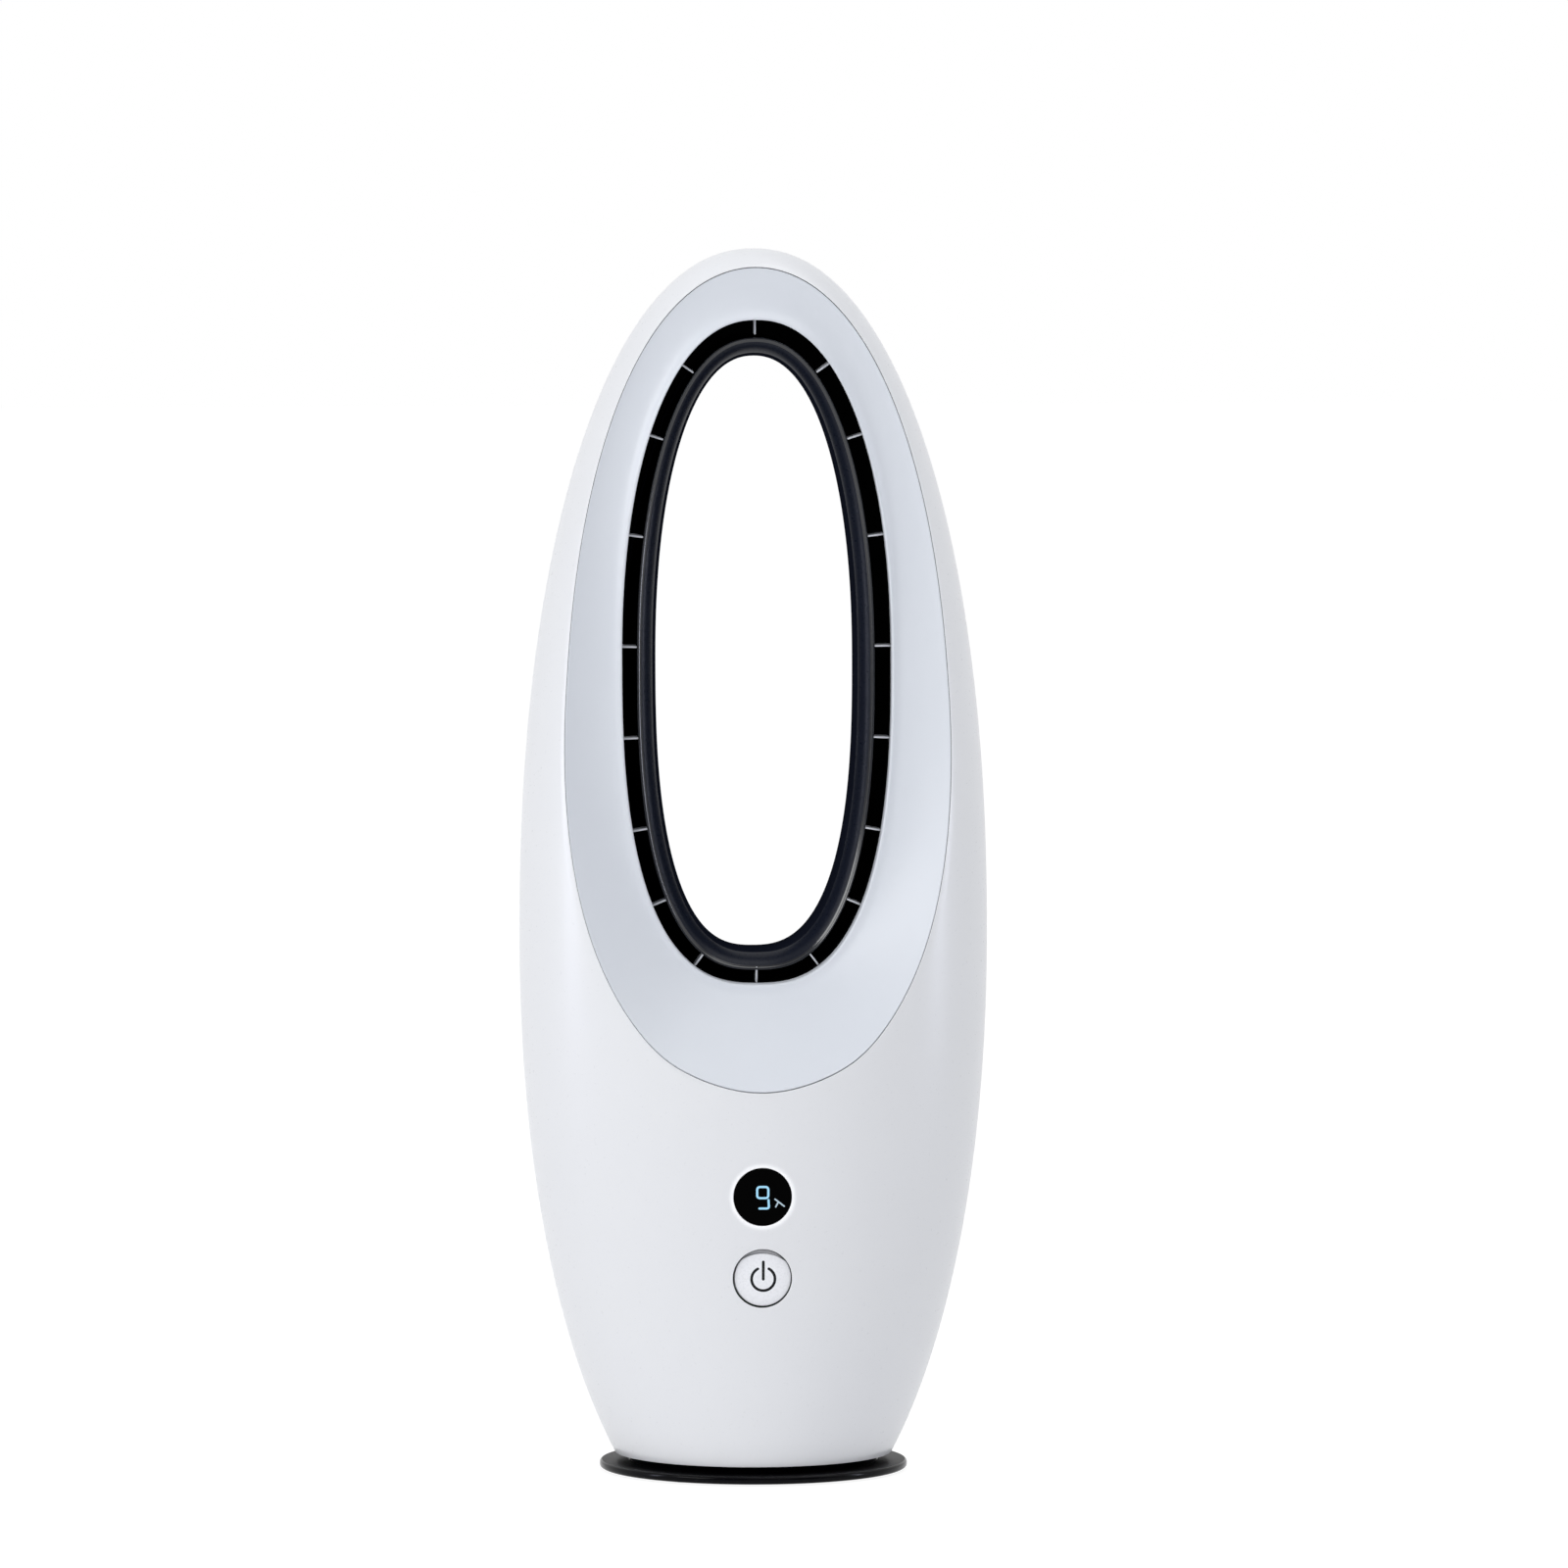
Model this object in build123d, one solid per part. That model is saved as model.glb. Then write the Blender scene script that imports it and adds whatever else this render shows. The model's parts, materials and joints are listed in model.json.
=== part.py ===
from build123d import *
import os
from math import copysign, cos, hypot, radians, sin

os.makedirs("parts", exist_ok=True)

# Bladeless tower fan: a tall flattened egg with an upright ring at the top, on a round swivelling base.
# Millimetres. +Z is up, the front faces -Y, and the origin lies on the floor under the swivel axis.

# Outer case
case_top = 589.0
case_foot = 8.5
wide_half = 112.5  # half the width, where the case is widest
wide_height = 260.0
deep_half = 80.0  # half the depth, where the case is deepest
deep_height = 220.0
foot_half = 66.5  # the foot is round
foot_run = 3.0  # how far the case's hollow runs out below the foot
wall = 2.5
seam_y = 4.0  # the front and rear shells meet on this upright plane
crown_power = 2.15
waist_power = 2.1
depth_power = 2.2
section_points = 16
crown_steps = 11

# Clearances
fit_gap = 0.3  # between mouldings that only locate each other
lens_gap = 0.2
seat_gap = 0.1
running_gap = 0.05
thread_gap = 0.05  # a screw's shank in its hole
past = 1.0  # how far a cutting solid runs beyond what it cuts

# Air outlet slot, an upright oval on a plane that leans back a little
slot_bottom = 238.0
crown_gap = 33.0  # from the slot's top up to the top of the case
slot_down = 155.0  # from the slot's widest height down to its bottom
slot_half = 64.6
slot_width = 7.4
slot_recess = 49.0  # behind the foremost plane of the case
slot_lean = 0.042
oval_power_up = 2.2
oval_power_down = 2.6
outline_points = 32
slot_centre = slot_bottom + slot_down
slot_up = case_top - crown_gap - slot_centre
slot_y = slot_recess - deep_half

# Face panel, a dish that opens from the slot out to the case
panel_wall = 1.8
panel_recess = 0.8
panel_lip = 8.0
dish_side = 20.0  # the dish's wide outline lies this far outside the case
dish_centre = 367.0
dish_over = 98.0
dish_down = 177.0
dish_power = 1.81
dish_recess = 32.0
dish_setback = 49.0  # how far the dish's top lies behind its centre
dish_half = wide_half + dish_side
dish_up = case_top + dish_over - dish_centre
dish_y = dish_recess - deep_half
dish_lean = dish_setback / dish_up

# Inner duct, from its front lip through the throat to the rear face
duct_wall = 2.4
duct_lip_back = 9.0  # behind the slot plane
duct_lip_wall = 0.8
throat_back = 24.0
throat_inset = 9.8
rear_flare = 0.0025  # how fast the duct opens behind the throat
duct_centre_drop = 1.5
duct_overrun = 15.0
flare_steps = 6
lip_turns = (0, 25, 45, 65)  # stations round the lip's curve, in degrees
duct_lip_y = slot_y + duct_lip_back
throat_y = slot_y + throat_back
duct_rear_y = deep_half + duct_overrun

# Guide vanes across the slot, placed by their share of the slot's rise and fall
vane_thick = 1.0
vane_front = 9.5  # behind the slot plane
vane_depth = 11.0
sleeve_wall = 1.6
vane_rises = (0.875, 0.668, 0.371, 0.038)
vane_falls = (0.25, 0.54, 0.77, 0.95)

# Base
base_radius = 74.0
base_bottom = 1.0
base_top = 4.8
base_edge = 1.2
platform_radius = 58.0
platform_slope = 2.0
platform_top = 7.5
base_skin = 1.4
base_rim = 4.0
ballast_rim = 1.8
cover_thick = 1.2
foot_pad_radius = 8.0
foot_pad_inset = 16.0
foot_pad_sink = 0.4
foot_count = 5
foot_turn = 90.0
base_screw_inset = 11.0
base_screw_turn = foot_turn + 180 / foot_count
base_boss = 4.0
base_boss_sink = 0.2
base_screw_floor = 0.6  # skin left over a screw's hole
base_screw_tip = 0.3
base_head_height = 0.7
pocket_radius = base_radius - base_rim
ballast_radius = platform_radius - ballast_rim
foot_pad_ring = base_radius - foot_pad_inset
base_screw_ring = base_radius - base_screw_inset

# Swivel
post_radius = 15.0
post_shoulder = 2.0
post_bore = 10.0
flange_width = 4.0
flange_bottom = 2.4
flange_thick = 2.0
shoulder_height = 14.5
post_top = 24.0
post_screw = 0.95
post_screw_pilot = 1.0
post_screw_hole = 1.1
post_screw_head = 1.7
post_head_hole = 1.8
post_head_height = 0.8
post_screw_floor = 0.5
post_screw_tip = 0.3
hub_width = 7.0
swivel_gap = 2.0  # round the chassis hub
swivel_width = 12.0
washer_thick = 1.5
ballast_clear = 3.3
nut_wall = 5.0
nut_notch = 1.5
gear_thick = 5.0
gear_teeth = 60
pinion_teeth = 15
gear_module = 1.0
tooth_root_half = 0.78
tooth_tip_half = 0.3
tooth_above = 1.0
tooth_below = 1.25
tooth_sink = 0.3
root_lap = 0.05
post_neck = post_radius - post_shoulder
post_flange = post_radius + flange_width
chassis_hub = post_radius + hub_width
washer_radius = chassis_hub
swivel_inner = chassis_hub + swivel_gap
swivel_outer = swivel_inner + swivel_width
ballast_bore = post_flange + ballast_clear

# Chassis under the case
chassis_bottom = 9.5
chassis_thick = 3.0
foot_block_inset = 7.0
foot_block_height = 9.0
block_half = 4.5
block_length = 16.0
foot_block_ring = foot_half - foot_block_inset
chassis_screw_length = 10.0

# Swing motor over the chassis
pinion_shaft = 2.5
motor_radius = 14.0
motor_height = 19.0
bracket_thick = 2.0
bracket_lift = 1.5  # over the swivel gear
bracket_half = 22.0
bracket_inward = 15.5  # from the pinion's axis
bracket_outward = 23.5
bracket_margin = 3.0
bracket_leg = 3.5
bracket_leg_places = ((6.5, 19.0), (6.5, -19.0), (18.5, 0.0))
pinion_clear = 1.0
pinion_reach = 10.0  # of the shaft into the motor
ear_half = 3.5
ear_end = 20.5
ear_thick = 1.0
ear_screw_y = 18.5
ear_hole = 1.2
ear_screw = 1.15
ear_head = 2.0
small_head_height = 1.4

# Fan housing and its motor
housing_radius = 52.0
housing_wall = 2.0
housing_flange = 2.0
housing_leg = 3.5
housing_leg_inset = 1.0
housing_leg_lap = 4.0
housing_bottom = 50.0
housing_top = 161.0
baffle_bottom = 157.0
baffle_thick = 2.5
seal_thick = 2.0
seal_width = 6.0
cup_radius = 26.0
cup_wall = 2.0
cup_bottom = 96.0
cup_top = 140.0
cup_floor = 2.0
stator_blades = 7
stator_low_gap = 8.0
stator_top_gap = 2.0
stator_turns = (0, 9, 14)
impeller_blades = 9
impeller_turns = (0, -14, -26, -36)
blade_thick = 1.6
blade_sink = 4.0
blade_lap = 1.0
hub_step_out = 6.0
hub_step_up = 13.0
impeller_bottom = 60.0
impeller_top = 92.0
impeller_root = 12.0
tip_gap = 1.0
impeller_nut_radius = 4.0
impeller_nut_thick = 3.0
shaft_radius = 2.0
shaft_tip = 4.0
shaft_top_gap = 6.5
bearing_radius = 4.0
bearing_tube = 6.0
bearing_height = 4.0
magnet_outer = 19.5
magnet_thick = 1.9
magnet_ends = 2.0
air_gap = 0.8
rotor_wall = 1.5
rotor_lift = 3.5
rotor_height = 25.0
rotor_floor = 2.0
rotor_hub = 5.0
rotor_hub_height = 4.0
bracket_drop = 6.0  # of the motor bracket below the cup's top
bracket_plate = 2.5
bracket_seat = 3.0
bearing_gap = 1.0
motor_poles = 9
core_gap = 2.0
core_wall = 4.0
core_height = 13.0
tooth_half = 1.6
shoe_thick = 2.0
shoe_half = 4.6
coil_wall = 0.8
coil_end = 1.0
coil_gap = 0.4
magnet_inner = magnet_outer - magnet_thick
stator_radius = magnet_inner - air_gap

# Front controls
window_radius = 13.75
window_height = 140.0
window_thick = 2.0
button_height = 100.6
ledge_outer = 2.25
ledge_inner = 1.75
ledge_thick = 1.5
button_hole = 14.15
button_gap = 0.35
button_recess = 1.5
button_thick = 2.5
button_travel = 0.8
button_skirt = 1.8
button_flange = 1.6
button_flange_rear = 1.3
button_stem = 4.0
button_overlap = 5.0
plunger_spare = 0.6  # left over at the end of the button's travel
plunger_radius = 1.75
plunger_lead = 0.3
collar_wall = 2.0
collar_depth = 7.92  # from the case's face to the collar's rear
board_behind = 5.4  # behind the collar
board_thick = 1.6
board_bottom = 84.0
board_top = 150.0
board_post_radius = 3.0
board_post_side = 2.85  # beyond the button's hole
board_post_inset = 4.0
board_screw_hole = 1.2
board_screw_depth = 7.4
board_screw = 1.15
board_screw_length = 6.0
board_screw_head = 2.2
board_hole = 1.3
module_half = 10.0
module_half_height = 9.5
module_depth = 9.8
receiver_drop = 12.6
receiver_half = 2.5
receiver_depth = 6.4
switch_half = 3.5
switch_bore = 1.8
switch_floor = 1.0
button_radius = button_hole - button_gap
board_post_x = button_hole + board_post_side
board_half = board_post_x + board_post_inset

# Power board on the chassis
power_half = 26.0
power_inset = 8.5  # from the foot's radius
power_depth = 24.0
power_lift = 5.5
power_post_radius = 2.5
power_post_hole = 1.0
power_post_side = 4.0
power_post_front = 6.0
power_post_rear = 3.0
power_screw = 0.95
power_screw_length = 5.0
power_screw_head = 2.0
power_hole = 1.1
transformer_left = 15.0
transformer_right = 1.0
transformer_height = 15.0
tall_can = (5.0, 16.0, 9.0)  # radius, height and place along X
short_can = (3.5, 11.0, 17.0)
short_can_back = 9.0
power_front = power_inset - foot_half
power_rear = power_front + power_depth

# Rear intake grille and cord gland
grille_half = 52.0
grille_bottom = 42.0
grille_top = 122.0
grille_corner = 14.0
grille_thick = 2.0
grille_ledge = 2.5
grille_ledge_thick = 1.6
louvre_gap = 2.4
louvre_pitch = 5.0
mullion = 3.0
gland_half = 8.0
gland_height = 24.0
gland_bore = 3.6
gland_flange = 2.5
gland_front = foot_half - power_inset

# Screws
screw_radius = 1.5
screw_head = 2.8
screw_head_height = 1.8
case_screw_length = 16.0
case_boss = 4.5
case_floor = 4.0
case_screw_tip = 3.0
case_boss_places = ((11.6, 330.0), (11.1, 130.0), (12.3, 45.0))  # in from the case's side, and height

# Ledges that carry the baffle between the intake chamber and the ring
baffle_screw_inset = 12.0
baffle_screw_y = 20.0
baffle_ledge = 10.0
baffle_web = 3.0
baffle_screw_length = 8.0


def cylinder(radius, low, high, x=0.0, y=0.0):
    upright = Cylinder(radius, high - low, align=(Align.CENTER, Align.CENTER, Align.MIN))
    return Pos(x, y, low) * upright


def tube(outer, inner, low, high, x=0.0, y=0.0):
    return cylinder(outer, low, high, x, y) - cylinder(inner, low - past, high + past, x, y)


def rod(radius, front, rear, x, z):
    lying = Cylinder(radius, rear - front, align=(Align.CENTER, Align.CENTER, Align.MIN))
    return Pos(x, front, z) * Rot(-90, 0, 0) * lying


def block(x_low, x_high, y_low, y_high, z_low, z_high):
    solid = Box(x_high - x_low, y_high - y_low, z_high - z_low)
    return Pos((x_low + x_high) / 2, (y_low + y_high) / 2, (z_low + z_high) / 2) * solid


def around(count, radius, start=0.0):
    for step in range(count):
        turn = radians(start + 360 * step / count)
        yield radius * cos(turn), radius * sin(turn)


def closed_wire(points):
    count = len(points)
    stops = [step / count for step in range(count + 1)]
    return Wire([Edge.make_spline([Vector(*point) for point in points], periodic=True, parameters=stops)])


# Outer case: ovals stacked up the height


def bulge(rise, reach, power):
    return (1 - (rise / reach) ** power) ** (1 / power)


def reach_for(drop, share, power):
    return drop / (1 - share**power) ** (1 / power)


def case_half_width(z, inset):
    if z >= wide_height:
        reach = case_top - inset - wide_height
        return (wide_half - inset) * bulge(z - wide_height, reach, crown_power)
    reach = reach_for(wide_height - case_foot, foot_half / wide_half, waist_power)
    return wide_half * bulge(wide_height - z, reach, waist_power) - inset


def case_half_depth(z, inset):
    if z >= deep_height:
        reach = case_top - inset - deep_height
        return (deep_half - inset) * bulge(z - deep_height, reach, depth_power)
    reach = reach_for(deep_height - case_foot, foot_half / deep_half, 2)
    return deep_half * bulge(deep_height - z, reach, 2) - inset


def case_section(z, inset):
    half_width = case_half_width(z, inset)
    half_depth = case_half_depth(z, inset)
    points = []
    for step in range(section_points):
        turn = radians(360 * step / section_points)
        points.append((half_width * cos(turn), half_depth * sin(turn), z))
    return closed_wire(points)


def case_solid(inset, foot_drop=0.0):
    low = case_foot - foot_drop
    reach = case_top - inset - deep_height
    heights = [low + (deep_height - low) * step / 6 for step in range(6)]
    heights += [deep_height + reach * sin(radians(8 * step)) for step in range(crown_steps + 1)]
    return Solid.make_loft([case_section(z, inset) for z in heights])


def slab(inset, low, high):
    return case_solid(inset, case_foot) & block(-wide_half, wide_half, -deep_half, deep_half, low, high)


# Ovals of the ring


def oval(half, up, down, powers, centre, y, lean):
    points = []
    for step in range(outline_points):
        turn = radians(360 * step / outline_points)
        across, rise = cos(turn), sin(turn)
        power = powers[0] if rise > 0 else powers[1]
        tall = up if rise > 0 else down
        x = copysign(abs(across) ** (2 / power), across) * half
        z = centre + copysign(abs(rise) ** (2 / power), rise) * tall
        points.append((x, y + (z - centre) * lean, z))
    return closed_wire(points)


def slot_oval(grow, back):
    powers = (oval_power_up, oval_power_down)
    y = slot_y + back
    return oval(slot_half + grow, slot_up + grow, slot_down + grow, powers, slot_centre, y, slot_lean)


def slot_prism(grow, front, rear):
    return Solid.make_loft([slot_oval(grow, front), slot_oval(grow, rear)], ruled=True)


def dish(grow, back):
    powers = (dish_power, dish_power)
    sizes = (dish_half + grow, dish_up + grow, dish_down + grow, powers, dish_centre)
    wide = oval(*sizes, dish_y + back, dish_lean)
    ahead = oval(*sizes, dish_y + back - deep_half, dish_lean)
    return Solid.make_loft([ahead, wide, slot_oval(grow, back)], ruled=True)


def duct_oval(inset, y):
    half = slot_half - slot_width - inset
    up = slot_up - slot_width - inset
    down = slot_down - slot_width - inset
    powers = (oval_power_up, oval_power_down)
    return oval(half, up, down, powers, slot_centre - duct_centre_drop, y, slot_lean)


def duct_inset(y):
    if y < throat_y:
        share = (throat_y - y) / (throat_y - duct_lip_y)
        return throat_inset * (1 - share**2) ** 0.5
    return throat_inset - rear_flare * (y - throat_y) ** 2


def duct_station(y, grow, lip_inset):
    inset = duct_inset(y) - grow
    return max(inset, lip_inset) if y < throat_y else inset


def duct_solid(grow, lip_inset, front):
    depth = throat_y - duct_lip_y
    stations = [throat_y - depth * cos(radians(turn)) for turn in lip_turns]
    rear_run = duct_rear_y - throat_y
    stations += [throat_y + rear_run * step / flare_steps for step in range(flare_steps + 1)]
    ovals = [duct_oval(duct_station(y, grow, lip_inset), y) for y in stations]
    if front > 0:
        lip_wire = duct_oval(lip_inset, duct_lip_y)
        cap = Solid.make_loft([duct_oval(lip_inset, duct_lip_y - front), lip_wire], ruled=True)
        return Solid.make_loft(ovals).fuse(cap)
    return Solid.make_loft(ovals)


# Case mouldings


def foot_block(x, y):
    turn = copysign(45, y) if x > 0 else copysign(135, y)
    middle = hypot(x, y) + block_length / 2 - block_half
    height = chassis_bottom + chassis_thick + foot_block_height / 2
    solid = Box(block_length, 2 * block_half, foot_block_height)
    return Pos(middle * cos(radians(turn)), middle * sin(radians(turn)), height) * Rot(0, 0, turn) * solid


def case_shell():
    shell = case_solid(0) - case_solid(wall, foot_drop=foot_run)
    blocks = []
    for x, y in around(4, foot_block_ring, 45):
        hole = cylinder(screw_radius, 0, chassis_bottom + chassis_thick + foot_block_height + past, x, y)
        blocks.append(foot_block(x, y) - hole)
    for x, y in baffle_places():
        ledge = cylinder(block_half, baffle_bottom - baffle_ledge, baffle_bottom, x, y)
        web_turn = 0 if x > 0 else 180
        web = Pos(x, y, baffle_bottom - baffle_ledge / 2) * Rot(0, 0, web_turn) * Box(
            block_length, baffle_web, baffle_ledge, align=(Align.MIN, Align.CENTER, Align.CENTER)
        )
        hole = cylinder(screw_radius, baffle_bottom - baffle_ledge + past, baffle_bottom + past, x, y)
        blocks.append(ledge + web - hole)
    skin = case_solid(wall / 2, foot_drop=foot_run)
    for piece in blocks:
        shell = shell + (piece & skin)
    return shell


def baffle_places():
    x = case_half_width(baffle_bottom, wall) - baffle_screw_inset
    return [(side * x, side_y * baffle_screw_y) for side in (1, -1) for side_y in (1, -1)]


def boss_places():
    for inset, z in case_boss_places:
        for side in (1, -1):
            yield side * (case_half_width(z, 0) - inset), z


def case_columns(front, rear, radius):
    columns = [rod(radius, front, rear, x, z) for x, z in boss_places()]
    return columns[0].fuse(*columns[1:])


def front_shell(shell):
    side = wide_half + past
    front = shell & block(-side, side, -deep_half - past, seam_y, 0, case_top + past)
    front = front + (case_columns(-deep_half, seam_y, case_boss) & case_solid(wall / 2))
    front = front - case_columns(seam_y - case_screw_length, seam_y + past, screw_radius)
    front = front - dish(panel_wall + fit_gap, panel_wall + fit_gap)
    window_hole = rod(window_radius + lens_gap, -deep_half - past, 0, 0, window_height)
    button_bore = rod(button_hole, -deep_half - past, 0, 0, button_height)
    front = front - window_hole - button_bore
    ledge = rod(window_radius + ledge_outer, -deep_half, board_front(), 0, window_height)
    ledge = ledge - rod(window_radius - ledge_inner, -deep_half - past, 0, 0, window_height)
    ledge_front = window_thick + seat_gap
    ledge = ledge & (case_solid(ledge_front) - case_solid(ledge_front + ledge_thick))
    collar = rod(button_hole + collar_wall, -deep_half, collar_rear(), 0, button_height)
    collar = (collar & case_solid(wall / 2)) - button_bore
    front = front + ledge + collar
    for x, z in board_posts():
        post = rod(board_post_radius, -deep_half, board_front(), x, z) & case_solid(wall / 2)
        front = front + (post - rod(board_screw_hole, board_front() - board_screw_depth, 0, x, z))
    return front


def collar_rear():
    return collar_depth - case_half_depth(button_height, 0)


def board_front():
    return collar_rear() + board_behind


def board_posts():
    for x in (-board_post_x, board_post_x):
        yield x, board_bottom + board_post_inset
        yield x, board_top - board_post_inset


def rear_shell(shell):
    side = wide_half + past
    rear = shell & block(-side, side, seam_y, deep_half + past, 0, case_top + past)
    rear = rear + (case_columns(seam_y, deep_half, case_boss) & case_solid(wall / 2))
    rear = rear - case_columns(seam_y - past, deep_half, screw_radius + fit_gap)
    rear = rear - case_columns(seam_y + case_floor, deep_half + past, screw_head + fit_gap)
    rear = rear - duct_solid(duct_wall + lens_gap, 0, 0)
    rear = rear - grille_prism(fit_gap)
    ledge = grille_prism(grille_ledge) - grille_prism(-grille_ledge)
    ledge_front = grille_thick + seat_gap
    ledge_skin = case_solid(ledge_front) - case_solid(ledge_front + grille_ledge_thick)
    rear = rear + (ledge & ledge_skin)
    return rear - gland_block(gland_half + fit_gap, gland_front, deep_half)


def face_panel():
    outer = dish(panel_wall, panel_wall) + slot_prism(panel_wall, 0, panel_lip)
    outer = outer & case_solid(panel_recess)
    return outer - dish(0, 0) - slot_prism(0, -past, panel_lip + past)


def inner_duct():
    shape = duct_solid(duct_wall, 0, 0) & case_solid(0)
    return shape - duct_solid(0, duct_lip_wall, past)


def outlet_vanes():
    front, rear = vane_front, vane_front + vane_depth
    sleeve = slot_prism(sleeve_wall, panel_lip, rear) - slot_prism(0, panel_lip - past, rear + past)
    band = slot_prism(sleeve_wall / 2, front, rear) - duct_solid(duct_wall + lens_gap, -lens_gap, 0)
    plates = None
    for x, z, turn in vane_places():
        plate = Pos(x, slot_y, z) * Rot(0, -turn, 0) * Box(3 * slot_width, deep_half, vane_thick)
        plates = plate if plates is None else plates + plate
    return sleeve + (band & plates)


def vane_places():
    half = slot_half - slot_width / 2
    places = [(0.0, slot_centre + slot_up - slot_width / 2, 90.0)]
    places.append((0.0, slot_centre - slot_down + slot_width / 2, -90.0))
    arcs = ((vane_rises, slot_up, oval_power_up), (vane_falls, -slot_down, oval_power_down))
    for shares, tall, power in arcs:
        reach = tall - copysign(slot_width / 2, tall)
        for share in shares:
            across = half * (1 - share**power) ** (1 / power)
            slope_x = (across / half) ** (power - 1) / half
            slope_z = copysign(share ** (power - 1) / abs(reach), tall)
            turn = copysign(1, slope_z) * angle_of(slope_x, abs(slope_z))
            z = slot_centre + reach * share
            places.append((across, z, turn))
            places.append((-across, z, 180 - turn))
    return places


def angle_of(x, y):
    return Vector(1, 0, 0).get_angle(Vector(x, y, 0))


def grille_prism(grow):
    width = 2 * (grille_half + grow)
    height = grille_top - grille_bottom + 2 * grow
    outline = RectangleRounded(width, height, grille_corner + grow)
    middle = (grille_bottom + grille_top) / 2
    placed = Pos(0, 0, middle) * Rot(-90, 0, 0) * outline
    return extrude(placed, amount=deep_half + past)


def intake_grille():
    grille = grille_prism(0) & (case_solid(0) - case_solid(grille_thick))
    third = (2 * grille_half - 2 * grille_ledge - 4 * mullion) / 3
    slats = int((grille_top - grille_bottom) / louvre_pitch + 0.5)
    cuts = None
    for row in range(1, slats):
        height = grille_bottom + louvre_pitch * row
        for side in (-1, 0, 1):
            x = side * (third + mullion)
            cut = Pos(x, deep_half / 2, height) * Box(third, deep_half + 2 * past, louvre_gap)
            cuts = cut if cuts is None else cuts + cut
    inner = grille_prism(-grille_ledge - past)
    return grille - (cuts & inner)


def gland_block(half, front, rear):
    return block(-half, half, front, rear, gland_height - half, gland_height + half)


def cord_gland():
    body = gland_block(gland_half, gland_front, deep_half) & case_solid(0)
    flange = gland_block(gland_half + gland_flange, gland_front, deep_half) & case_solid(wall + lens_gap)
    return body + flange - rod(gland_bore, gland_front - past, deep_half, 0, gland_height)


def case_screws():
    screws = []
    head_front = seam_y + case_floor
    tip = seam_y - case_screw_length + case_screw_tip
    for x, z in boss_places():
        shank = rod(screw_radius - thread_gap, tip, head_front, x, z)
        head = rod(screw_head, head_front, head_front + screw_head_height, x, z)
        screws.append(shank + head)
    return Compound(screws)


# Base and swivel


def revolved(points):
    profile = make_face(Plane.XZ * Polyline(*points, close=True))
    return revolve(profile, Axis.Z, 360)


def base_plate():
    cover_top = base_bottom + cover_thick
    pocket_top = base_top - base_skin
    ballast_top = platform_top - base_skin - seat_gap
    profile = [
        (post_radius + running_gap, flange_bottom + flange_thick),
        (post_radius + running_gap, platform_top),
        (platform_radius, platform_top),
        (platform_radius + platform_slope, base_top),
        (base_radius, base_top),
        (base_radius, base_bottom),
        (pocket_radius, base_bottom),
        (pocket_radius, pocket_top),
        (ballast_radius + fit_gap, pocket_top),
        (ballast_radius + fit_gap, ballast_top),
        (ballast_bore - fit_gap, ballast_top),
        (ballast_bore - fit_gap, flange_bottom),
        (post_flange + fit_gap, flange_bottom),
        (post_flange + fit_gap, flange_bottom + flange_thick),
    ]
    plate = revolved(profile)
    circles = plate.edges().filter_by(GeomType.CIRCLE)
    plate = fillet([edge for edge in circles if edge.radius > base_radius - fit_gap], base_edge)
    for x, y in around(foot_count, base_screw_ring, base_screw_turn):
        plate = plate + cylinder(base_boss, cover_top, pocket_top + base_boss_sink, x, y)
        plate = plate - cylinder(screw_radius, 0, base_top - base_screw_floor, x, y)
    for x, y in post_screw_places():
        plate = plate - cylinder(post_screw_pilot, flange_bottom, platform_top - post_screw_floor, x, y)
    return plate


def ballast_plate():
    low = base_bottom + cover_thick + seat_gap
    return tube(ballast_radius, ballast_bore, low, platform_top - base_skin - 2 * seat_gap)


def base_cover():
    top = base_bottom + cover_thick
    cover = cylinder(pocket_radius - fit_gap, base_bottom, top)
    cover = cover - cylinder(post_bore, 0, top + past)
    for x, y in around(foot_count, foot_pad_ring, foot_turn):
        cover = cover - cylinder(foot_pad_radius + seat_gap, 0, base_bottom + foot_pad_sink, x, y)
    for x, y in around(foot_count, base_screw_ring, base_screw_turn):
        cover = cover - cylinder(screw_radius + seat_gap, 0, top + past, x, y)
        cover = cover - cylinder(screw_head + seat_gap, 0, base_bottom + base_head_height, x, y)
    return cover


def rubber_feet():
    top = base_bottom + foot_pad_sink
    places = around(foot_count, foot_pad_ring, foot_turn)
    return Compound([cylinder(foot_pad_radius, 0, top, x, y) for x, y in places])


def base_screws():
    screws = []
    tip = base_top - base_screw_floor - base_screw_tip
    for x, y in around(foot_count, base_screw_ring, base_screw_turn):
        head = cylinder(screw_head, base_bottom, base_bottom + base_head_height, x, y)
        screws.append(head + cylinder(screw_radius - thread_gap, base_bottom, tip, x, y))
    return Compound(screws)


def post_screw_places():
    return around(3, (post_radius + post_flange) / 2, foot_turn)


def pivot_post():
    flange_top = flange_bottom + flange_thick
    post = cylinder(post_flange, flange_bottom, flange_top)
    post = post + cylinder(post_radius, flange_bottom, shoulder_height)
    post = post + cylinder(post_neck, flange_bottom, post_top)
    post = post - cylinder(post_bore, 0, post_top + past)
    for x, y in post_screw_places():
        post = post - cylinder(post_screw_hole, 0, platform_top - post_screw_floor, x, y)
        post = post - cylinder(post_head_hole, 0, flange_bottom + post_head_height, x, y)
    return post


def post_screws():
    screws = []
    tip = platform_top - post_screw_floor - post_screw_tip
    for x, y in post_screw_places():
        head = cylinder(post_screw_head, flange_bottom, flange_bottom + post_head_height, x, y)
        screws.append(head + cylinder(post_screw, flange_bottom, tip, x, y))
    return Compound(screws)


def swivel_ring():
    return tube(swivel_outer, swivel_inner, platform_top, chassis_bottom - seat_gap)


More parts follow.
